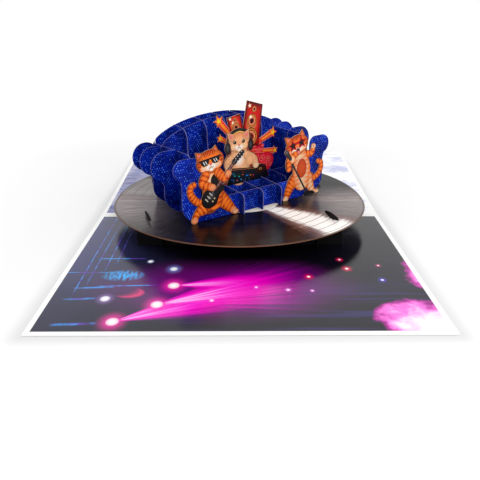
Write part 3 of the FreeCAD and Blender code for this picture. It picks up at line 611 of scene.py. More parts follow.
def figure_back_material(settings, sofa, name, tab_height):
    """Figure card under its print: dark outline in front, white behind, sofa blue below tab_height."""
    material, web, shader = new_material(name, IOR=1.45)
    spot = web.millimetres()
    place = web.moved(spot, turn=(0.0, 0.0, -LONG_ANGLE))
    axis = (-math.sin(LONG_ANGLE), math.cos(LONG_ANGLE), 0.0)
    grain = web.group("card grain", {"Place": spot, "Fibres": 2.4, "Strength": 0.12})
    white = web.vector("SCALE", (0.8, 0.79, 0.77))
    web.tree.links.new(grain, white.node.inputs["Scale"])
    behind = web.maths("GREATER_THAN", web.facing(axis), 0.3)
    colour = web.mix(behind, opaque(settings.outline), white)
    edge = web.group("cut edge", {"Axis": axis})
    colour = web.mix(edge, colour, opaque(ink(190, 150, 116)))
    if tab_height:
        cover, cover_edge = sofa_cover(web, sofa, place, axis)
        low = web.maths("LESS_THAN", web.axes(spot)[2], tab_height)
        colour = web.mix(low, colour, cover)
    link(web, colour, shader, "Base Color")
    link(web, web.group("smudged gloss", {"Place": spot, "Middle": 0.4, "Spread": 0.1}), shader, "Roughness")
    bump(web, shader, web.group("card grain", {"Place": spot}, output="Height"), 0.2, 0.00003)
    return material


def print_material():
    """Figure print: the ink attribute with fine hairs of lighter and darker ink, and a satin finish."""
    found = bpy.data.materials.get("figure print")
    if found:
        return found
    material, web, shader = new_material("figure print", IOR=1.45, Specular_IOR_Level=0.2)
    place = web.millimetres()
    painted = web.add("ShaderNodeAttribute", attribute_name="ink", attribute_type="GEOMETRY")
    hairs = web.noise(web.moved(place, turn=(0.3, 0.0, 0.9), scale=(1.0, 1.0, 0.35)), 2.6, 3.0, 0.7)
    shade = web.smooth(hairs, 0.3, 0.7, 0.8, 1.06)
    colour = web.vector("SCALE", painted)
    web.tree.links.new(shade, colour.node.inputs["Scale"])
    link(web, colour, shader, "Base Color")
    link(web, web.group("smudged gloss", {"Place": place, "Middle": 0.36, "Spread": 0.12}), shader,
         "Roughness")
    bump(web, shader, web.group("card grain", {"Place": place}, output="Height"), 0.15, 0.00003)
    return material


# Figure prints: patches of ink just in front of each cut-out

def disc_top(y):
    """Height of the disc's top: flat in front of the fold and tilted behind it."""
    return DISC_RISE + max(0.0, y) * math.tan(BACK_TILT)


def sheet_frame(row, depth):
    """Origin, direction along, direction up and direction back of a sheet in a row, in mm.

    The sheet stands on the disc at both ends of its base, so it leans with the disc between them.
    The origin is moved forwards by depth, to the printed face.
    """
    along = np.array([math.cos(LONG_ANGLE), math.sin(LONG_ANGLE), 0.0])
    axis = np.array([math.cos(AXIS_ANGLE), math.sin(AXIS_ANGLE), 0.0])
    centre = along * SOFA_SHIFT + axis * row
    low = disc_top((centre - along * BASE_REACH)[1])
    high = disc_top((centre + along * BASE_REACH)[1])
    lean = math.atan((high - low) / (2 * BASE_REACH))
    centre = centre + np.array([0.0, 0.0, (low + high) / 2])
    rising = along * math.cos(lean) + np.array([0.0, 0.0, math.sin(lean)])
    up = -along * math.sin(lean) + np.array([0.0, 0.0, math.cos(lean)])
    back = np.array([-math.sin(LONG_ANGLE), math.cos(LONG_ANGLE), 0.0])
    return centre - back * depth, rising, up, back


def smooth_path(points, count):
    """Points along a Catmull-Rom curve through the given rows, count of them between each pair."""
    rows = np.asarray(points, float)
    rows = np.vstack([2 * rows[0] - rows[1], rows, 2 * rows[-1] - rows[-2]])
    share = np.linspace(0.0, len(points) - 1.0, count * (len(points) - 1) + 1)
    step = np.minimum(share.astype(int), len(points) - 2)
    t = (share - step)[:, None]
    a, b, c, d = rows[step], rows[step + 1], rows[step + 2], rows[step + 3]
    return 0.5 * (2 * b + (c - a) * t + (2 * a - 5 * b + 4 * c - d) * t ** 2
                  + (3 * b - a - 3 * c + d) * t ** 3)


def step_up(value, low, high):
    """Smooth step of an array."""
    share = np.clip((value - low) / (high - low), 0.0, 1.0)
    return share * share * (3 - 2 * share)


class InkSheet:
    """Collects patches of ink on one sheet as one mesh.

    Each patch lies one layer in front of the earlier patches whose boxes it overlaps.
    """

    def __init__(self, row, depth, shift, layer):
        self.place = sheet_frame(row, depth)
        self.shift = np.array(shift, float)
        self.layer = layer
        self.boxes = []
        self.corner = 0
        self.spots, self.inks, self.faces = [], [], []

    def lay(self, flat, inks):
        """Adds a grid of (along, up) points with a colour each."""
        rows, cols = flat.shape[:2]
        low, high = flat.min((0, 1)), flat.max((0, 1))
        below = [rank for start, stop, rank in self.boxes if np.all(start < high) and np.all(low < stop)]
        level = 1 + max(below, default=0)
        self.boxes.append((low, high, level))
        origin, along, up, back = self.place
        flat = flat + self.shift
        depth = 0.02 + self.layer * level
        self.spots.append((origin - back * depth + flat[..., :1] * along + flat[..., 1:] * up).reshape(-1, 3))
        self.inks.append(np.broadcast_to(inks, (rows, cols, 3)).reshape(-1, 3))
        first = np.arange(rows - 1)[:, None] * cols + np.arange(cols - 1)[None, :] + self.corner
        faces = np.stack([first, first + 1, first + cols + 1, first + cols], -1).reshape(-1, 4)
        corners = flat.reshape(-1, 2)[faces - self.corner]
        span = corners[:, 2] - corners[:, 0]
        cross = corners[:, 3] - corners[:, 1]
        if np.sum(span[:, 0] * cross[:, 1] - span[:, 1] * cross[:, 0]) < 0:
            faces = faces[:, ::-1]
        self.faces.append(faces)
        self.corner += rows * cols

    def oval(self, centre, across, up, turn, inner, rim, power=2.2, inset=0.0, light=0.0):
        """Ellipse: radius times (cos, sin) of the angle, inner ink to rim ink by a power of the radius."""
        far = np.linspace(0.0, 1.0, 9)[:, None]
        angle = np.linspace(0.0, 2 * np.pi, 41)[None, :]
        x = (across - inset) * far * np.cos(angle)
        z = (up - inset) * far * np.sin(angle)
        lean = math.radians(turn)
        flat = np.stack([centre[0] + x * math.cos(lean) - z * math.sin(lean),
                         centre[1] + x * math.sin(lean) + z * math.cos(lean)], -1)
        share = (far ** power + 0 * angle)[..., None]
        inks = np.array(inner) * (1 - share) + np.array(rim) * share
        inks = inks * (1 + light * far * np.sin(angle + 0.6))[..., None]
        self.lay(flat, inks)

    def band(self, path, halves, inner, rim, stripe=None, count=0, bend=0.5, keen=0.2, inset=0.3, ends=(1, 1),
             shade=0.12, middle=0.55):
        """Band along a smooth path with round ends: ink graded from inner to rim across it.

        Stripes are where the cosine of count turns along the path, bent back by the square of the
        distance from its middle, is high. They keep the share middle of their ink in the middle.
        """
        line = smooth_path([(a, b, h) for (a, b), h in zip(path, halves)], 12)
        spots, width = line[:, :2], np.maximum(line[:, 2] - inset, 0.08)
        ahead = np.gradient(spots, axis=0)
        ahead /= np.linalg.norm(ahead, axis=1)[:, None]
        turn = np.linspace(0.0, np.pi / 2, 7)
        if ends[0]:
            back = spots[0] - ahead[0] * (width[0] * np.cos(turn))[:, None]
            spots = np.vstack([back[:-1], spots])
            width = np.concatenate([width[0] * np.sin(turn)[:-1], width])
            ahead = np.vstack([np.repeat(ahead[:1], 6, 0), ahead])
        if ends[1]:
            front = spots[-1] + ahead[-1] * (width[-1] * np.sin(turn))[:, None]
            width = np.concatenate([width, width[-1] * np.cos(turn)[1:]])
            spots = np.vstack([spots, front[1:]])
            ahead = np.vstack([ahead, np.repeat(ahead[-1:], 6, 0)])
        side = np.stack([-ahead[:, 1], ahead[:, 0]], -1)
        u = np.linspace(-1.0, 1.0, 15)[None, :]
        flat = spots[:, None] + side[:, None] * (width[:, None] * u)[..., None]
        share = np.abs(u[..., None]) ** 3 + 0 * width[:, None, None]
        inks = np.array(inner) * (1 - share) + np.array(rim) * share
        if stripe is not None:
            run = np.concatenate([[0.0], np.cumsum(np.linalg.norm(np.diff(spots, axis=0), axis=1))])
            run = run / run[-1]
            wave = np.cos(2 * np.pi * (count * run[:, None] - bend * u ** 2) + 0.6 * u)
            kept = middle + (1 - middle) * step_up(np.abs(u), 0.0, 0.6)
            mask = (step_up(wave, keen, keen + 0.5) * kept)[..., None]
            inks = inks * (1 - mask) + np.array(stripe) * mask
        inks = inks * (1 + shade * u * side[:, None, 1])[..., None]
        self.lay(flat, inks)

    def sheet(self, points, inner, rim, centre=None, power=2.0, inset=0.3, top=None):
        """Straight-sided patch: rings from a centre to the outline, ink graded outwards, top scales it."""
        outline = np.array(points + points[:1], float)
        middle = np.array(centre, float) if centre else outline[:-1].mean(0)
        share = np.linspace(0.0, 1.0, 8)
        sides = [outline[i] + (outline[i + 1] - outline[i]) * share[:-1, None] for i in range(len(points))]
        edge = np.vstack(sides + [outline[:1]])
        reach = np.linalg.norm(edge - middle, axis=1)
        edge = middle + (edge - middle) * ((reach - inset) / reach)[:, None]
        far = np.linspace(0.0, 1.0, 7)[:, None, None]
        flat = middle + (edge - middle)[None] * far
        fade = far ** power + 0 * flat[..., :1]
        inks = np.array(inner) * (1 - fade) + np.array(rim) * fade
        if top is not None:
            rise = step_up(flat[..., 1:], flat[..., 1].min(), flat[..., 1].max())
            inks = inks * (1 - rise) + inks * np.array(top) * rise
        self.lay(flat, inks)

    def blob(self, points, centre, inner, rim, power=2.0):
        """Patch inside a smooth closed curve through the points: rings from the centre, graded outwards."""
        line = smooth_path(points[-2:] + points + points[:2], 6)[12:-6]
        far = np.linspace(0.0, 1.0, 6)[:, None, None]
        flat = np.array(centre) + (line - np.array(centre))[None] * far
        fade = far ** power + 0 * flat[..., :1]
        self.lay(flat, np.array(inner) * (1 - fade) + np.array(rim) * fade)

    def finish(self, name):
        """Makes the mesh, in metres, with the colours in the attribute ink, and puts it on the root body."""
        spots = np.vstack(self.spots) / 1000.0
        faces = np.vstack(self.faces)
        mesh = bpy.data.meshes.new(name)
        mesh.from_pydata(spots.tolist(), [], faces.tolist())
        layer = mesh.color_attributes.new("ink", "FLOAT_COLOR", "POINT")
        inks = np.clip(np.vstack(self.inks), 0.0, 1.0)
        layer.data.foreach_set("color",
                               np.column_stack([inks, np.ones(len(inks))]).ravel().astype(np.float32))
        shape = bmesh.new()
        shape.from_mesh(mesh)
        bmesh.ops.remove_doubles(shape, verts=shape.verts, dist=1e-6)
        shape.to_mesh(mesh)
        shape.free()
        mesh.materials.append(print_material())
        piece = bpy.data.objects.new(name, mesh)
        bpy.context.scene.collection.objects.link(piece)
        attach(piece, "root")
        return piece


BLACK = ink(12, 10, 12)
GREY = ink(150, 146, 150)
WHITE = ink(252, 248, 242)
PINK = ink(232, 120, 112)
DEEP = ink(84, 26, 8)


def scaled(colour, amount):
    return tuple(min(1.0, value * amount) for value in colour)


def mixed(first, second, share):
    return tuple(a * (1 - share) + b * share for a, b in zip(first, second))


def turned(centre, tilt):
    """Function that turns a point about the origin by tilt degrees and moves it to the centre."""
    lean = math.radians(tilt)

    def place(x, z):
        return (centre[0] + x * math.cos(lean) - z * math.sin(lean),
                centre[1] + x * math.sin(lean) + z * math.cos(lean))
    return place


def limb(sheet, path, halves, tones, count, bend=0.2, paw=None):
    """Striped leg, arm or tail in (light, rim, stripe) ink, with a paler paw at its end."""
    sheet.band(path, halves, tones[0], tones[1], tones[2], count, bend)
    if paw:
        sheet.oval(path[-1], halves[-1] * 0.95, halves[-1] * 0.85, 0, paw, mixed(paw, tones[1], 0.5), 3.0)
        for shift in (-0.35, 0.35):
            spot = (path[-1][0] + shift * halves[-1], path[-1][1] - 0.35 * halves[-1])
            sheet.band([spot, (spot[0], spot[1] - 0.45 * halves[-1])], [0.12, 0.12], DEEP, DEEP, inset=0.0)


def tabby_head(sheet, centre, size, tilt, tones, ears, count=5):
    """Striped head with ears, cheeks, muzzle and whiskers: each stripe is a band that narrows to its end."""
    light, rim, stripe, pale = tones
    for ear, inside in ears:
        sheet.sheet(ear, light, rim)
        sheet.sheet(inside, PINK, scaled(light, 0.8), inset=0.0)
    sheet.oval(centre, size[0], size[1], tilt, light, rim, 3.5, inset=0.3, light=0.1)
    spot = turned(centre, tilt)
    for step in np.linspace(-1.0, 1.0, count):
        reach = size[1] * (0.94 - 0.16 * step * step)
        sheet.band([spot(3.9 * step, reach), spot(3.0 * step, reach - 3.3 + 1.1 * abs(step))], [0.5, 0.16],
                   stripe, stripe, inset=0.0)
    for side in (-1, 1):
        for drop in (-1.2, 0.7, 2.6):
            far = size[0] * (0.95 - 0.012 * (drop + 2.0) ** 2)
            sheet.band([spot(side * far, -drop), spot(side * (far - 2.8), -drop - 0.5)], [0.5, 0.14],
                       stripe, stripe, inset=0.0)
        sheet.oval(spot(side * 4.4, -2.7), 3.2, 2.4, tilt, scaled(pale, 0.94), light, 2.0)
    for side in (-1, 1):
        sheet.oval(spot(side * 1.6, -3.0), 2.4, 1.9, tilt, WHITE, pale, 1.6)
    sheet.oval(spot(0.0, -4.7), 1.7, 1.1, tilt, WHITE, scaled(pale, 0.86))
    for side in (-1, 1):
        for drop in (0.0, 0.8):
            sheet.band([spot(side * 2.2, -2.8 - drop), spot(side * 7.6, -2.2 - 2.0 * drop)], [0.08, 0.05],
                       WHITE, WHITE, inset=0.0, ends=(0, 0))
    return spot


def nose(sheet, spot, tilt):
    sheet.oval(spot(0.0, -1.3), 0.95, 0.62, tilt, PINK, scaled(PINK, 0.7))
    sheet.band([spot(0.0, -1.8), spot(0.0, -3.0)], [0.12, 0.12], DEEP, DEEP, inset=0.0)


def quiet_mouth(sheet, spot):
    for side in (-1, 1):
        sheet.band([spot(side * 1.8, -3.2), spot(side * 0.9, -3.6), spot(0.0, -3.0)], [0.14] * 3, DEEP,
                   DEEP, inset=0.0)


def dark_glasses(sheet, spot):
    """Flat-topped dark glasses with two pale glints on each lens."""
    lens = [(0.5, 2.1), (7.0, 2.1), (6.7, 0.0), (5.2, -1.7), (2.5, -1.7), (1.0, -0.2)]
    sheet.band([spot(-7.6, 1.9), spot(7.6, 1.9)], [0.5, 0.5], BLACK, BLACK, inset=0.0)
    for side in (-1, 1):
        sheet.sheet([spot(side * x, z) for x, z in lens], ink(26, 24, 28), BLACK, inset=0.0)
        for shift in (3.0, 4.5):
            sheet.band([spot(side * shift - 0.5, 1.2), spot(side * shift + 0.5, -0.9)],
                       [0.26, 0.26], WHITE, GREY, inset=0.0, ends=(0, 0))


def guitar_cat_print(settings):
    """Striped cat with a plain black guitar."""
    sheet = InkSheet(FRONT_ROW, GLUED_DEPTH, (0.0, 0.0), settings.layer)
    fur, stripe, pale = tuple(settings.fur), tuple(settings.stripe), tuple(settings.pale)
    tones = (scaled(fur, 1.15), scaled(fur, 0.4), stripe)
    paw = mixed(fur, pale, 0.35)
    limb(sheet, [(-40.6, 11.4), (-47.2, 13.4), (-51.2, 18.6), (-51.2, 22.6), (-48.8, 23.9)],
         [2.2, 2.4, 2.4, 2.2, 1.9], tones, 10, 0.1)
    limb(sheet, [(-32.6, 14.6), (-26.4, 8.8), (-20.4, 2.9)], [5.2, 4.2, 2.5], tones, 9, 0.2, paw)
    sheet.oval((-18.8, 1.6), 2.7, 1.9, 0, pale, scaled(fur, 0.8), inset=0.3)
    limb(sheet, [(-37.0, 12.4), (-42.6, 8.4), (-47.4, 5.6), (-49.2, 1.9)], [5.2, 4.5, 2.5, 2.4], tones, 9,
         0.2, paw)
    sheet.band([(-36.8, 31.0), (-36.4, 22.0), (-34.8, 12.6)], [5.8, 6.8, 7.0], tones[0], tones[1], stripe,
               9, 0.3)
    sheet.oval((-36.8, 25.4), 3.2, 4.6, 0, scaled(pale, 1.05), tones[0], 1.8)
    ears = (([(-46.2, 36.5), (-47.2, 42.6), (-40.2, 41.5), (-40.0, 36.0)],
             [(-45.4, 38.6), (-46.3, 41.7), (-42.6, 41.0), (-42.4, 38.6)]),
            ([(-38.2, 41.0), (-33.0, 45.4), (-29.4, 39.4), (-33.0, 36.0)],
             [(-36.0, 41.6), (-33.2, 44.3), (-31.0, 40.6), (-34.0, 39.0)]))
    spot = tabby_head(sheet, (-37.0, 36.0), (9.8, 7.3), 8, tones + (pale,), ears, 7)
    nose(sheet, spot, 8)
    quiet_mouth(sheet, spot)
    dark_glasses(sheet, spot)
    sheet.blob([(-30.4, 21.8), (-33.6, 28.0), (-36.6, 26.4), (-37.6, 21.6), (-41.0, 19.0), (-43.8, 15.0),
                (-43.0, 9.8),
                (-38.6, 7.6), (-33.4, 9.4), (-31.0, 14.4), (-27.0, 18.6), (-28.4, 20.6)], (-36.6, 15.6),
               ink(26, 24, 28), BLACK)
    sheet.blob([(-35.6, 17.6), (-38.6, 15.8), (-38.4, 12.4), (-35.6, 12.6), (-34.0, 15.8)], (-36.6, 14.8),
               ink(66, 62, 66), ink(30, 28, 30))
    sheet.band([(-33.4, 19.2), (-19.0, 33.4)], [1.15, 1.0], ink(120, 44, 30), ink(64, 18, 12), inset=0.1)
    for share in (0.12, 0.24, 0.36, 0.48, 0.6, 0.72, 0.84, 0.94):
        place = (-33.4 + 14.4 * share, 19.2 + 14.2 * share)
        sheet.band([(place[0] - 0.6, place[1] + 0.6), (place[0] + 0.6, place[1] - 0.6)], [0.12, 0.12], GREY,
                   GREY, inset=0.0, ends=(0, 0))
    sheet.band([(-19.4, 33.2), (-13.4, 38.0)], [1.9, 1.7], ink(34, 30, 32), BLACK, inset=0.1)
    for share in (0.1, 0.4, 0.7, 1.0):
        sheet.oval((-19.0 + 5.0 * share, 34.6 + 4.2 * share), 0.35, 0.35, 0, WHITE, GREY)
        sheet.oval((-17.6 + 5.0 * share, 32.8 + 4.2 * share), 0.35, 0.35, 0, WHITE, GREY)
    for x, z in ((-37.2, 16.2), (-38.8, 14.6), (-40.4, 13.0)):
        sheet.band([(x - 1.0, z + 1.0), (x + 1.0, z - 1.0)], [0.36, 0.36], ink(226, 214, 190), GREY,
                   inset=0.0, ends=(0, 0))
    for x, z in ((-36.0, 11.6), (-34.6, 13.2)):
        sheet.oval((x, z), 0.6, 0.6, 0, ink(236, 206, 150), ink(150, 120, 80))
    sheet.band([(-40.6, 12.6), (-18.0, 34.6)], [0.1, 0.1], GREY, GREY, inset=0.0, ends=(0, 0))
    limb(sheet, [(-40.6, 28.0), (-42.6, 23.6), (-36.0, 20.2)], [3.2, 3.0, 2.5], tones, 6, 0.2, paw)
    limb(sheet, [(-31.6, 28.6), (-26.8, 24.6), (-24.2, 26.8)], [3.2, 2.9, 2.5], tones, 6, 0.2, paw)
    return sheet.finish("guitar_cat_print")


def singer_cat_print(settings):
    """Striped cat with star glasses that sings at a microphone on its stand."""
    sheet = InkSheet(FRONT_ROW, GLUED_DEPTH, (-1.8, -1.2), settings.layer)
    fur, stripe, pale = tuple(settings.fur), tuple(settings.stripe), tuple(settings.pale)
    tones = (scaled(fur, 1.15), scaled(fur, 0.4), stripe)
    limb(sheet, [(45.6, 13.0), (52.0, 13.0), (56.6, 17.4), (56.8, 21.8), (54.0, 23.5)],
         [2.2, 2.3, 2.2, 2.0, 1.8], tones, 9, 0.1)
    soft = (scaled(pale, 0.92), scaled(fur, 0.7), scaled(fur, 0.75))
    limb(sheet, [(44.2, 13.4), (47.8, 6.4), (50.6, 2.8), (53.8, 2.0)], [4.8, 3.2, 2.2, 1.9], soft, 7, 0.2,
         pale)
    limb(sheet, [(34.0, 14.4), (28.8, 9.6), (26.2, 4.4), (24.9, 1.9)], [5.0, 3.9, 2.9, 2.4], tones, 9, 0.2,
         pale)
    limb(sheet, [(42.6, 30.0), (47.4, 30.4), (48.9, 34.4)], [2.9, 2.4, 2.1], tones, 5, 0.2, pale)
    sheet.oval((48.9, 34.6), 1.0, 1.1, 0, PINK, scaled(pale, 0.9))
    sheet.band([(36.4, 31.0), (38.6, 21.0), (39.2, 12.6)], [5.2, 8.0, 7.2], scaled(pale, 0.9),
               scaled(fur, 0.78), scaled(fur, 0.9), 11, 0.3, middle=0.12)
    sheet.oval((38.7, 21.0), 4.4, 6.6, 4, ink(206, 76, 22), ink(176, 52, 12))
    ears = (([(25.0, 37.4), (22.8, 43.4), (30.0, 42.2), (30.0, 37.0)],
             [(25.6, 39.6), (23.8, 42.6), (28.2, 41.8), (28.2, 39.4)]),
            ([(33.4, 42.0), (38.2, 47.2), (42.0, 40.4), (38.0, 37.0)],
             [(35.6, 42.4), (38.2, 46.0), (40.4, 41.2), (37.8, 40.0)]))
    spot = tabby_head(sheet, (34.0, 36.9), (9.9, 7.0), 12, tones + (pale,), ears, 7)
    sheet.oval(spot(0.0, -3.9), 1.7, 1.9, 12, ink(120, 16, 24), ink(70, 6, 10))
    sheet.oval(spot(0.1, -4.7), 1.15, 1.0, 12, ink(250, 140, 140), ink(236, 100, 104))
    nose(sheet, spot, 12)
    for side in (-1, 1):
        sheet.sheet(star_points(spot(side * 3.8, 0.9), 4.9, 12), ink(236, 20, 26), ink(196, 6, 14), inset=0.0)
        sheet.sheet(star_points(spot(side * 3.8, 0.9), 3.3, 12), ink(30, 4, 10), ink(14, 2, 6), inset=0.0)
    sheet.band([spot(-1.4, 1.2), spot(1.4, 1.2)], [0.4, 0.4], ink(190, 20, 30), ink(190, 20, 30), inset=0.0)
    sheet.band([(27.0, 30.0), (45.2, 1.4)], [0.75, 0.7], ink(44, 40, 44), BLACK, inset=0.05)
    sheet.oval((46.4, 2.1), 5.4, 1.9, -4, ink(24, 22, 26), BLACK, 4.0, inset=0.1)
    limb(sheet, [(32.0, 31.0), (27.2, 28.4), (27.2, 22.4)], [2.8, 2.4, 2.4], tones, 5, 0.2)
    sheet.oval((30.0, 28.2), 2.4, 2.8, 0, pale, scaled(fur, 0.9), inset=0.1)
    sheet.band([(24.8, 33.4), (28.2, 28.8)], [1.6, 1.4], ink(44, 42, 46), BLACK, inset=0.1)
    sheet.oval((24.7, 33.5), 1.5, 1.5, 0, ink(96, 94, 100), ink(36, 34, 38))
    return sheet.finish("singer_cat_print")


def dj_kitten_print(settings):
    """Cream kitten with headphones behind a mixing desk."""
    sheet = InkSheet(KITTEN_ROW, LAPPED_DEPTH, (1.3, -1.8), settings.layer)
    cream, pale = tuple(settings.cream), tuple(settings.pale)
    light, rim, patch = scaled(cream, 1.04), scaled(cream, 0.5), scaled(tuple(settings.fur), 0.85)
    tones = (light, rim, scaled(cream, 0.8))
    sheet.band([(-4.5, 34.5), (-4.5, 21.0)], [6.6, 9.2], light, rim, scaled(cream, 0.84), 6, 0.3, middle=0.1)
    sheet.oval((-4.8, 29.4), 4.6, 5.2, 0, WHITE, light, 1.3)
    limb(sheet, [(1.6, 31.4), (7.2, 28.0), (9.4, 23.0)], [3.2, 3.1, 2.7], tones, 5, 0.2, pale)
    sheet.oval((4.0, 28.0), 3.2, 3.8, 0, light, scaled(cream, 0.8), inset=0.1)
    path = [(-13.6, 39.6), (-11.4, 46.4), (-4.6, 48.8), (2.2, 46.6), (4.6, 39.6)]
    sheet.band(path, [1.0] * 5, ink(30, 26, 26), BLACK, inset=0.05)
    sheet.oval((-4.6, 40.6), 8.9, 6.9, 0, light, rim, 4.5, inset=0.3, light=0.1)
    sheet.band([(-11.6, 45.0), (-4.6, 47.6), (2.4, 45.2)], [0.35] * 3, ink(240, 190, 90), ink(180, 110, 40),
               inset=0.0)
    for ear, inside in (([(-13.0, 42.0), (-14.2, 48.2), (-7.8, 46.4), (-8.0, 41.0)],
                         [(-12.6, 43.0), (-13.6, 47.5), (-8.9, 46.3), (-9.0, 42.6)]),
                        ([(-1.4, 46.6), (3.6, 48.7), (4.2, 42.0), (-2.0, 41.0)],
                         [(-0.4, 46.2), (3.2, 48.1), (3.6, 42.8), (-0.6, 42.4)])):
        sheet.sheet(ear, light, rim)
        sheet.sheet(inside, PINK, scaled(light, 0.85), inset=0.0)
    for step in (-1.0, -0.5, 0.0, 0.5, 1.0):
        sheet.band([(-4.6 + 3.6 * step, 46.6 - 0.8 * step * step), (-4.6 + 2.6 * step, 43.8)], [0.4, 0.14],
                   patch, patch, inset=0.0)
    for side in (-1, 1):
        for drop in (0.0, 1.6):
            sheet.band([(-4.6 + side * 8.2, 39.8 - drop), (-4.6 + side * 6.0, 39.2 - drop)], [0.36, 0.12],
                       patch, patch, inset=0.0)
        sheet.oval((-4.6 + side * 3.9, 38.2), 2.8, 2.1, 0, scaled(pale, 1.02), light, 1.8)
        sheet.oval((-4.6 + side * 1.4, 37.5), 2.1, 1.7, 0, WHITE, pale, 1.6)
    sheet.oval((-4.6, 35.9), 1.7, 1.1, 0, WHITE, pale, 1.6)
    sheet.oval((-4.6, 38.9), 0.8, 0.55, 0, PINK, scaled(PINK, 0.7))
    sheet.band([(-4.6, 38.5), (-4.6, 37.4)], [0.1, 0.1], DEEP, DEEP, inset=0.0)
    sheet.band([(-6.0, 37.0), (-4.6, 37.4), (-3.2, 37.0)], [0.12] * 3, DEEP, DEEP, inset=0.0)
    for side in (-1, 1):
        eye = (-4.6 + side * 3.5, 40.9)
        sheet.oval(eye, 1.35, 1.1, side * 14, ink(96, 60, 36), ink(40, 18, 8), 2.0)
        sheet.oval(eye, 0.85, 0.95, 0, BLACK, BLACK)
        sheet.oval((eye[0] - 0.35, eye[1] + 0.35), 0.24, 0.24, 0, WHITE, WHITE)
    for x, z, across, up in ((-13.6, 38.0, 2.3, 3.9), (4.9, 37.8, 2.4, 4.0)):
        sheet.oval((x, z), across, up, 0, ink(40, 38, 42), BLACK, inset=0.1)
        sheet.oval((x - 0.3, z + 0.2), across * 0.5, up * 0.6, 0, ink(74, 72, 78), ink(30, 28, 30))
    sheet.sheet([(-15.4, 13.4), (-11.2, 24.6), (17.8, 21.4), (20.6, 14.4), (18.0, 13.0)], ink(14, 20, 34),
                ink(4, 5, 9), centre=(2.0, 18.0))
    sheet.band([(-11.0, 23.4), (8.0, 21.4)], [0.3, 0.3], ink(150, 90, 50), ink(90, 40, 20), inset=0.0)
    for spot, across, up, colour in (((-9.6, 20.6), 2.0, 1.2, (16, 90, 120)),
                                     ((-5.6, 19.0), 2.2, 1.0, (24, 70, 40)),
                                     ((-1.6, 20.6), 1.7, 1.0, (90, 26, 16)),
                                     ((2.0, 18.4), 2.0, 1.0, (20, 40, 90)),
                                     ((-10.4, 16.6), 2.2, 0.9, (20, 70, 130)),
                                     ((6.2, 15.8), 2.2, 0.9, (80, 20, 12))):
        sheet.oval(spot, across, up, -8, ink(*colour), ink(5, 6, 10), 1.0)
    for spot, colour in (((-8.6, 19.0), (60, 200, 220)), ((-5.0, 18.0), (60, 200, 210)),
                         ((-2.0, 18.8), (250, 120, 40)),
                         ((1.0, 17.6), (40, 140, 255)), ((2.2, 17.4), (40, 160, 255)),
                         ((-7.0, 15.8), (230, 60, 60)),
                         ((-3.4, 16.0), (60, 170, 240)), ((4.6, 17.4), (250, 150, 50)),
                         ((7.0, 17.0), (230, 60, 90))):
        sheet.oval(spot, 0.6, 0.4, 0, ink(*colour), scaled(ink(*colour), 0.35))
    for spot in ((-9.6, 14.8), (-6.4, 14.6), (-3.2, 14.5), (0.0, 14.4), (3.2, 14.2)):
        sheet.band([spot, (spot[0] + 0.4, spot[1] + 1.6)], [0.12, 0.12], ink(80, 120, 160),
                   ink(80, 120, 160), inset=0.0)
    sheet.oval((13.0, 20.2), 5.4, 3.4, 0, ink(26, 18, 20), BLACK, inset=0.1)
    for share, tone in ((0.8, ink(96, 40, 26)), (0.74, ink(14, 10, 12)), (0.56, ink(110, 30, 24)),
                        (0.5, ink(20, 10, 14)), (0.24, ink(230, 170, 80)), (0.16, ink(60, 20, 16))):
        sheet.oval((13.0, 20.2), 5.4 * share, 3.4 * share, 0, tone, scaled(tone, 0.7))
    limb(sheet, [(-9.6, 31.4), (-14.0, 28.4), (-13.4, 24.4)], [3.2, 3.0, 2.6], tones, 5, 0.2, pale)
    sheet.oval((9.2, 23.4), 2.4, 2.0, 0, pale, scaled(pale, 0.75))
    return sheet.finish("dj_kitten_print")


def star_points(centre, radius, turn):
    """Corners of a five-pointed star."""
    angles = np.radians(90 + turn + 36 * np.arange(10))
    reach = radius * np.where(np.arange(10) % 2 == 0, 1.0, 0.45)
    return [(centre[0] + r * math.cos(a), centre[1] + r * math.sin(a)) for r, a in zip(reach, angles)]


def driver(sheet, centre, size, turn):
    """Loudspeaker cone: gold, dark and pale rings round a black cap."""
    rings = ((1.0, (56, 6, 8)), (0.92, (240, 150, 60)), (0.8, (150, 14, 12)), (0.68, (246, 170, 90)),
             (0.58, (236, 150, 120)), (0.46, (190, 30, 24)), (0.32, (16, 5, 8)))
    for share, tone in rings:
        sheet.oval(centre, size * share, size * share * 1.1, turn, ink(*tone), scaled(ink(*tone), 0.85))


def cabinet(sheet, quad, cones, turn):
    """Loudspeaker box: red with a maroon edge and an orange glow, its cones at (across, down, size)."""
    sheet.sheet(quad, ink(226, 22, 12), ink(52, 2, 10), power=3.4, inset=0.35)
    corner = [np.array(point) for point in quad]

    def inside(across, down):
        top, low = corner[0] + (corner[1] - corner[0]) * across, corner[3] + (corner[2] - corner[3]) * across
        return tuple(top + (low - top) * down)

    wide = 0.36 * float(np.linalg.norm(corner[1] - corner[0]))
    for across, down, tall, tone in ((0.5, 0.62, 1.9, (255, 110, 60)), (0.45, 0.5, 1.0, (255, 190, 120))):
        sheet.oval(inside(across, down), wide, wide * tall, turn, ink(*tone), ink(214, 22, 14), 1.0)
    for across, down, size in cones:
        driver(sheet, inside(across, down), size, turn)
    for across, down in ((0.2, 0.1), (0.34, 0.34)):
        sheet.sheet(star_points(inside(across, down), 0.34 * wide, 10), WHITE, ink(255, 210, 130), inset=0.0)


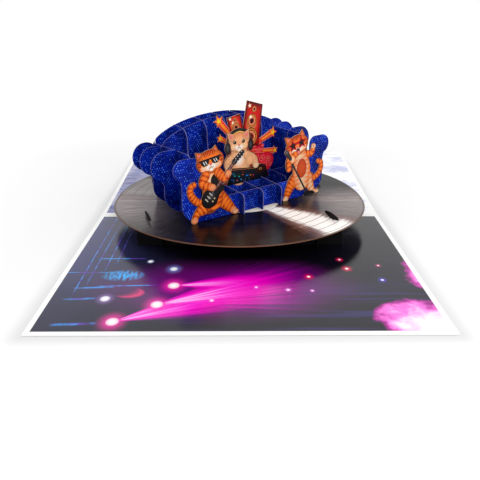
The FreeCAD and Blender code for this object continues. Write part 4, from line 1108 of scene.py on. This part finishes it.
def speaker_burst_print(settings):
    """Two loudspeakers among rays and stars."""
    sheet = InkSheet(BURST_ROW, LAPPED_DEPTH, (1.4, -1.4), settings.layer)
    red, wine, pale = ink(246, 40, 44), ink(176, 8, 40), ink(255, 140, 130)
    sheet.sheet([(-11.0, 13.0), (-9.0, 46.0), (4.0, 46.0), (18.0, 38.0), (24.0, 26.0), (22.0, 13.0)], red,
                wine, centre=(6.0, 30.0))
    hub = np.array([5.0, 31.0])
    stars = (((-15.4, 53.6), 4.2, 20), ((-14.6, 42.4), 3.0, -8), ((29.6, 40.4), 4.0, -16),
             ((31.6, 27.6), 3.2, 10))
    for tip, size, turn in stars:
        halves = [0.62 * 0.45 * size, 0.62 * size]
        sheet.band([tuple(hub), tip], halves, pale, pale, inset=0.1, ends=(0, 0))
        sheet.band([tuple(hub), tip], halves, ink(240, 60, 40), ink(206, 10, 40), inset=0.45, ends=(0, 0))
        sheet.band([tuple(hub * 0.4 + np.array(tip) * 0.6), tip], [0.25 * size] * 2, ink(255, 150, 40),
                   ink(240, 60, 40), inset=0.0, ends=(0, 0))
    sheet.oval((23.0, 21.0), 7.6, 6.6, 20, ink(250, 50, 60), ink(222, 14, 48), inset=0.1)
    for spot, size in (((20.0, 24.0), 2.4), ((25.4, 22.6), 2.2), ((22.4, 18.6), 2.2), ((27.4, 18.6), 1.5),
                       ((18.0, 19.4), 1.4), ((17.0, 30.0), 1.8), ((20.6, 32.6), 1.3), ((-6.8, 36.0), 1.8),
                       ((-7.4, 30.0), 1.6), ((15.6, 25.6), 1.4)):
        sheet.oval(spot, size, size * 0.85, 30, ink(255, 130, 120), ink(255, 110, 130))
        sheet.oval(spot, size * 0.8, size * 0.66, 30, ink(240, 40, 40), ink(214, 6, 60))
        sheet.oval(spot, size * 0.3, size * 0.3, 0, ink(255, 170, 80), ink(240, 80, 50))
    for tip, size, turn in stars:
        sheet.sheet(star_points(tip, size, turn), ink(255, 130, 40), ink(232, 40, 50), centre=tip, inset=0.2)
        sheet.sheet(star_points(tip, size * 0.72, turn), ink(255, 216, 40), ink(255, 150, 20), centre=tip,
                    inset=0.1)
    tall = [(7.7, 64.2), (20.9, 60.2), (17.0, 32.5), (1.2, 35.5)]
    cabinet(sheet, tall, ((0.5, 0.15, 1.9), (0.44, 0.42, 4.1), (0.5, 0.79, 5.6)), -12)
    small = [(-9.0, 54.6), (1.8, 56.4), (4.6, 45.4), (-6.4, 42.4)]
    cabinet(sheet, small, ((0.52, 0.24, 1.5), (0.5, 0.66, 3.0)), 14)
    return sheet.finish("speaker_burst_print")


# Stage

def studio(settings):
    """Pale floor that keeps the shadow, white surroundings, one soft lamp and the photograph's camera."""
    scene = bpy.context.scene
    scene.view_settings.view_transform = "Standard"
    floor_mesh = bpy.data.meshes.new("floor")
    corners = [(x * FLOOR_REACH, y * FLOOR_REACH, -FLOOR_DROP) for x, y in ((-1, -1), (1, -1), (1, 1), (-1, 1))]
    floor_mesh.from_pydata(corners, [], [(0, 1, 2, 3)])
    floor = bpy.data.objects.new("floor", floor_mesh)
    scene.collection.objects.link(floor)
    material = bpy.data.materials.new("pale floor")
    material.use_nodes = True
    web = NodeWeb(material.node_tree)
    web.tree.nodes.clear()
    seen = web.seen()
    place = web.millimetres()
    x, y, z = web.axes(place)
    beside = web.maths("SUBTRACT", web.maths("ABSOLUTE", x), CARD_HALF_WIDTH)
    before = web.maths("SUBTRACT", web.maths("ABSOLUTE", web.maths("SUBTRACT", y, SPINE_WIDTH / 2)),
                       PANEL_DEPTH + SPINE_WIDTH / 2)
    gap = web.vector("LENGTH", web.vector("MAXIMUM", web.place(beside, before), (0.0, 0.0, 0.0)), output=1)
    # Painted shadow: the floor darkens to 0.8 of its colour at the card's outline, fading out over 10 mm.
    shade = web.smooth(gap, 0.0, 10.0, 0.8, 1.0)
    colour = web.mix(shade, (0.0, 0.0, 0.0, 1.0), opaque(settings.floor))
    matte = web.add("ShaderNodeBsdfDiffuse", {"Color": colour})
    # The lift that the camera sees grows with the distance from the card: a broad painted shade on the floor
    # near the card, white far away.
    raised = web.maths("MULTIPLY", web.smooth(gap, 0.0, 260.0, 0.85, 2.4), settings.lift)
    lift = web.add("ShaderNodeEmission", {"Strength": web.maths("MULTIPLY", seen, raised)})
    both = web.add("ShaderNodeAddShader", {0: matte, 1: lift})
    end = web.tree.nodes.new("ShaderNodeOutputMaterial")
    web.tree.links.new(both, end.inputs["Surface"])
    floor_mesh.materials.append(material)

    world = bpy.data.worlds.new("pale room")
    scene.world = world
    world.use_nodes = True
    web = NodeWeb(world.node_tree)
    seen = web.seen()
    sky = world.node_tree.nodes["Background"]
    sky.inputs["Color"].default_value = (1.0, 1.0, 1.0, 1.0)
    web.tree.links.new(web.blend(seen, settings.fill, 1.0), sky.inputs["Strength"])

    lamp = bpy.data.lights.new("soft lamp", "AREA")
    lamp.energy = settings.key
    lamp.size = 0.5
    lamp_object = bpy.data.objects.new("soft lamp", lamp)
    lamp_object.location = (0.45, -0.75, 0.75)
    lamp_object.rotation_euler = (math.radians(45), 0.0, math.radians(31))
    scene.collection.objects.link(lamp_object)

    camera = bpy.data.cameras.new("camera")
    camera.lens = 42.0
    camera.sensor_width = 36.0
    camera.clip_start = 0.01
    camera.clip_end = 20.0
    camera_object = bpy.data.objects.new("camera", camera)
    camera_object.location = CAMERA_PLACE
    camera_object.rotation_euler = (math.radians(90 - CAMERA_DIP), 0.0, math.radians(CAMERA_TURN))
    scene.collection.objects.link(camera_object)
    scene.camera = camera_object


# Operators and panel

LONG_SLICES = ("sofa_front_slice", "sofa_seat_slice", "sofa_back_slice", "sofa_rear_slice")
RIBS = ("seat_rib_centre", "seat_rib_left", "seat_rib_right", "side_rib_left", "side_rib_right",
        "arm_wall_left", "arm_wall_right")
FRAME_PARTS = ("support_wall_front", "support_wall_centre", "support_wall_back", "support_rib_left",
               "support_rib_right", "lug_wall_front_left", "lug_wall_front_right", "lug_wall_back_left",
               "lug_wall_back_right")


class POPUP_OT_base_card(bpy.types.Operator):
    """Prints the two panels of the base card"""
    bl_idname = "popup.base_card"
    bl_label = "Print base card"

    def execute(self, context):
        dress(["base_card"], card_print_material(context.scene.popup_print))
        return {"FINISHED"}


class POPUP_OT_disc(bpy.types.Operator):
    """Prints the raised record disc"""
    bl_idname = "popup.disc"
    bl_label = "Print disc"

    def execute(self, context):
        dress(["record_disc"], disc_material(context.scene.popup_disc))
        return {"FINISHED"}


class POPUP_OT_support(bpy.types.Operator):
    """Gives the support frame its black card"""
    bl_idname = "popup.support"
    bl_label = "Finish support frame"

    def execute(self, context):
        dress(FRAME_PARTS, black_card_material())
        return {"FINISHED"}


class POPUP_OT_sofa(bpy.types.Operator):
    """Prints the woven cover on the slices and ribs of the sofa"""
    bl_idname = "popup.sofa"
    bl_label = "Print sofa"

    def execute(self, context):
        settings = context.scene.popup_sofa
        dress(LONG_SLICES, sofa_material(settings, "woven print on long slices", LONG_ANGLE))
        dress(RIBS, sofa_material(settings, "woven print on ribs", RIB_ANGLE))
        return {"FINISHED"}


class POPUP_OT_cats(bpy.types.Operator):
    """Prints the two cats in front of the sofa"""
    bl_idname = "popup.cats"
    bl_label = "Print cats"

    def execute(self, context):
        settings = context.scene.popup_figures
        material = figure_back_material(settings, context.scene.popup_sofa, "cat card", 0.0)
        dress(["guitar_cat_card", "singer_cat_card"], material)
        guitar_cat_print(settings)
        singer_cat_print(settings)
        return {"FINISHED"}


class POPUP_OT_seat_figures(bpy.types.Operator):
    """Prints the kitten and the loudspeakers on the seat"""
    bl_idname = "popup.seat_figures"
    bl_label = "Print kitten and loudspeakers"

    def execute(self, context):
        settings = context.scene.popup_figures
        material = figure_back_material(settings, context.scene.popup_sofa, "tabbed figure card", TAB_TOP)
        dress(["dj_kitten_card", "speaker_burst_card"], material)
        dj_kitten_print(settings)
        speaker_burst_print(settings)
        return {"FINISHED"}


class POPUP_OT_stage(bpy.types.Operator):
    """Sets the floor, the light and the camera"""
    bl_idname = "popup.stage"
    bl_label = "Set stage"

    def execute(self, context):
        studio(context.scene.popup_stage)
        return {"FINISHED"}


class POPUP_PT_panel(bpy.types.Panel):
    """Steps of the pop up card"""
    bl_idname = "POPUP_PT_panel"
    bl_label = "Pop Up Card"
    bl_space_type = "VIEW_3D"
    bl_region_type = "UI"
    bl_category = "Pop Up Card"

    def draw(self, context):
        for group, steps in PANEL_ROWS:
            settings = getattr(context.scene, group)
            for name in settings.__annotations__:
                self.layout.prop(settings, name)
            for step in steps:
                self.layout.operator(step)


PANEL_ROWS = (("popup_print", ("popup.base_card",)), ("popup_disc", ("popup.disc", "popup.support")),
              ("popup_sofa", ("popup.sofa",)), ("popup_figures", ("popup.cats", "popup.seat_figures")),
              ("popup_stage", ("popup.stage",)))
SETTINGS = {"popup_print": CardPrintSettings, "popup_disc": DiscSettings, "popup_sofa": SofaSettings,
            "popup_figures": FigureSettings, "popup_stage": StageSettings}
CLASSES = tuple(SETTINGS.values()) + (POPUP_OT_base_card, POPUP_OT_disc, POPUP_OT_support, POPUP_OT_sofa,
                                      POPUP_OT_cats, POPUP_OT_seat_figures, POPUP_OT_stage, POPUP_PT_panel)


def register():
    for kind in CLASSES:
        bpy.utils.register_class(kind)
    for name, kind in SETTINGS.items():
        setattr(bpy.types.Scene, name, bpy.props.PointerProperty(type=kind))


def unregister():
    for name in SETTINGS:
        delattr(bpy.types.Scene, name)
    for kind in reversed(CLASSES):
        bpy.utils.unregister_class(kind)


def main():
    """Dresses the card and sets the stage."""
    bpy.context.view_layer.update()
    register()
    bpy.ops.popup.base_card()
    bpy.ops.popup.disc()
    bpy.ops.popup.support()
    bpy.ops.popup.sofa()
    bpy.ops.popup.cats()
    bpy.ops.popup.seat_figures()
    bpy.ops.popup.stage()


if __name__ == "__main__":
    main()
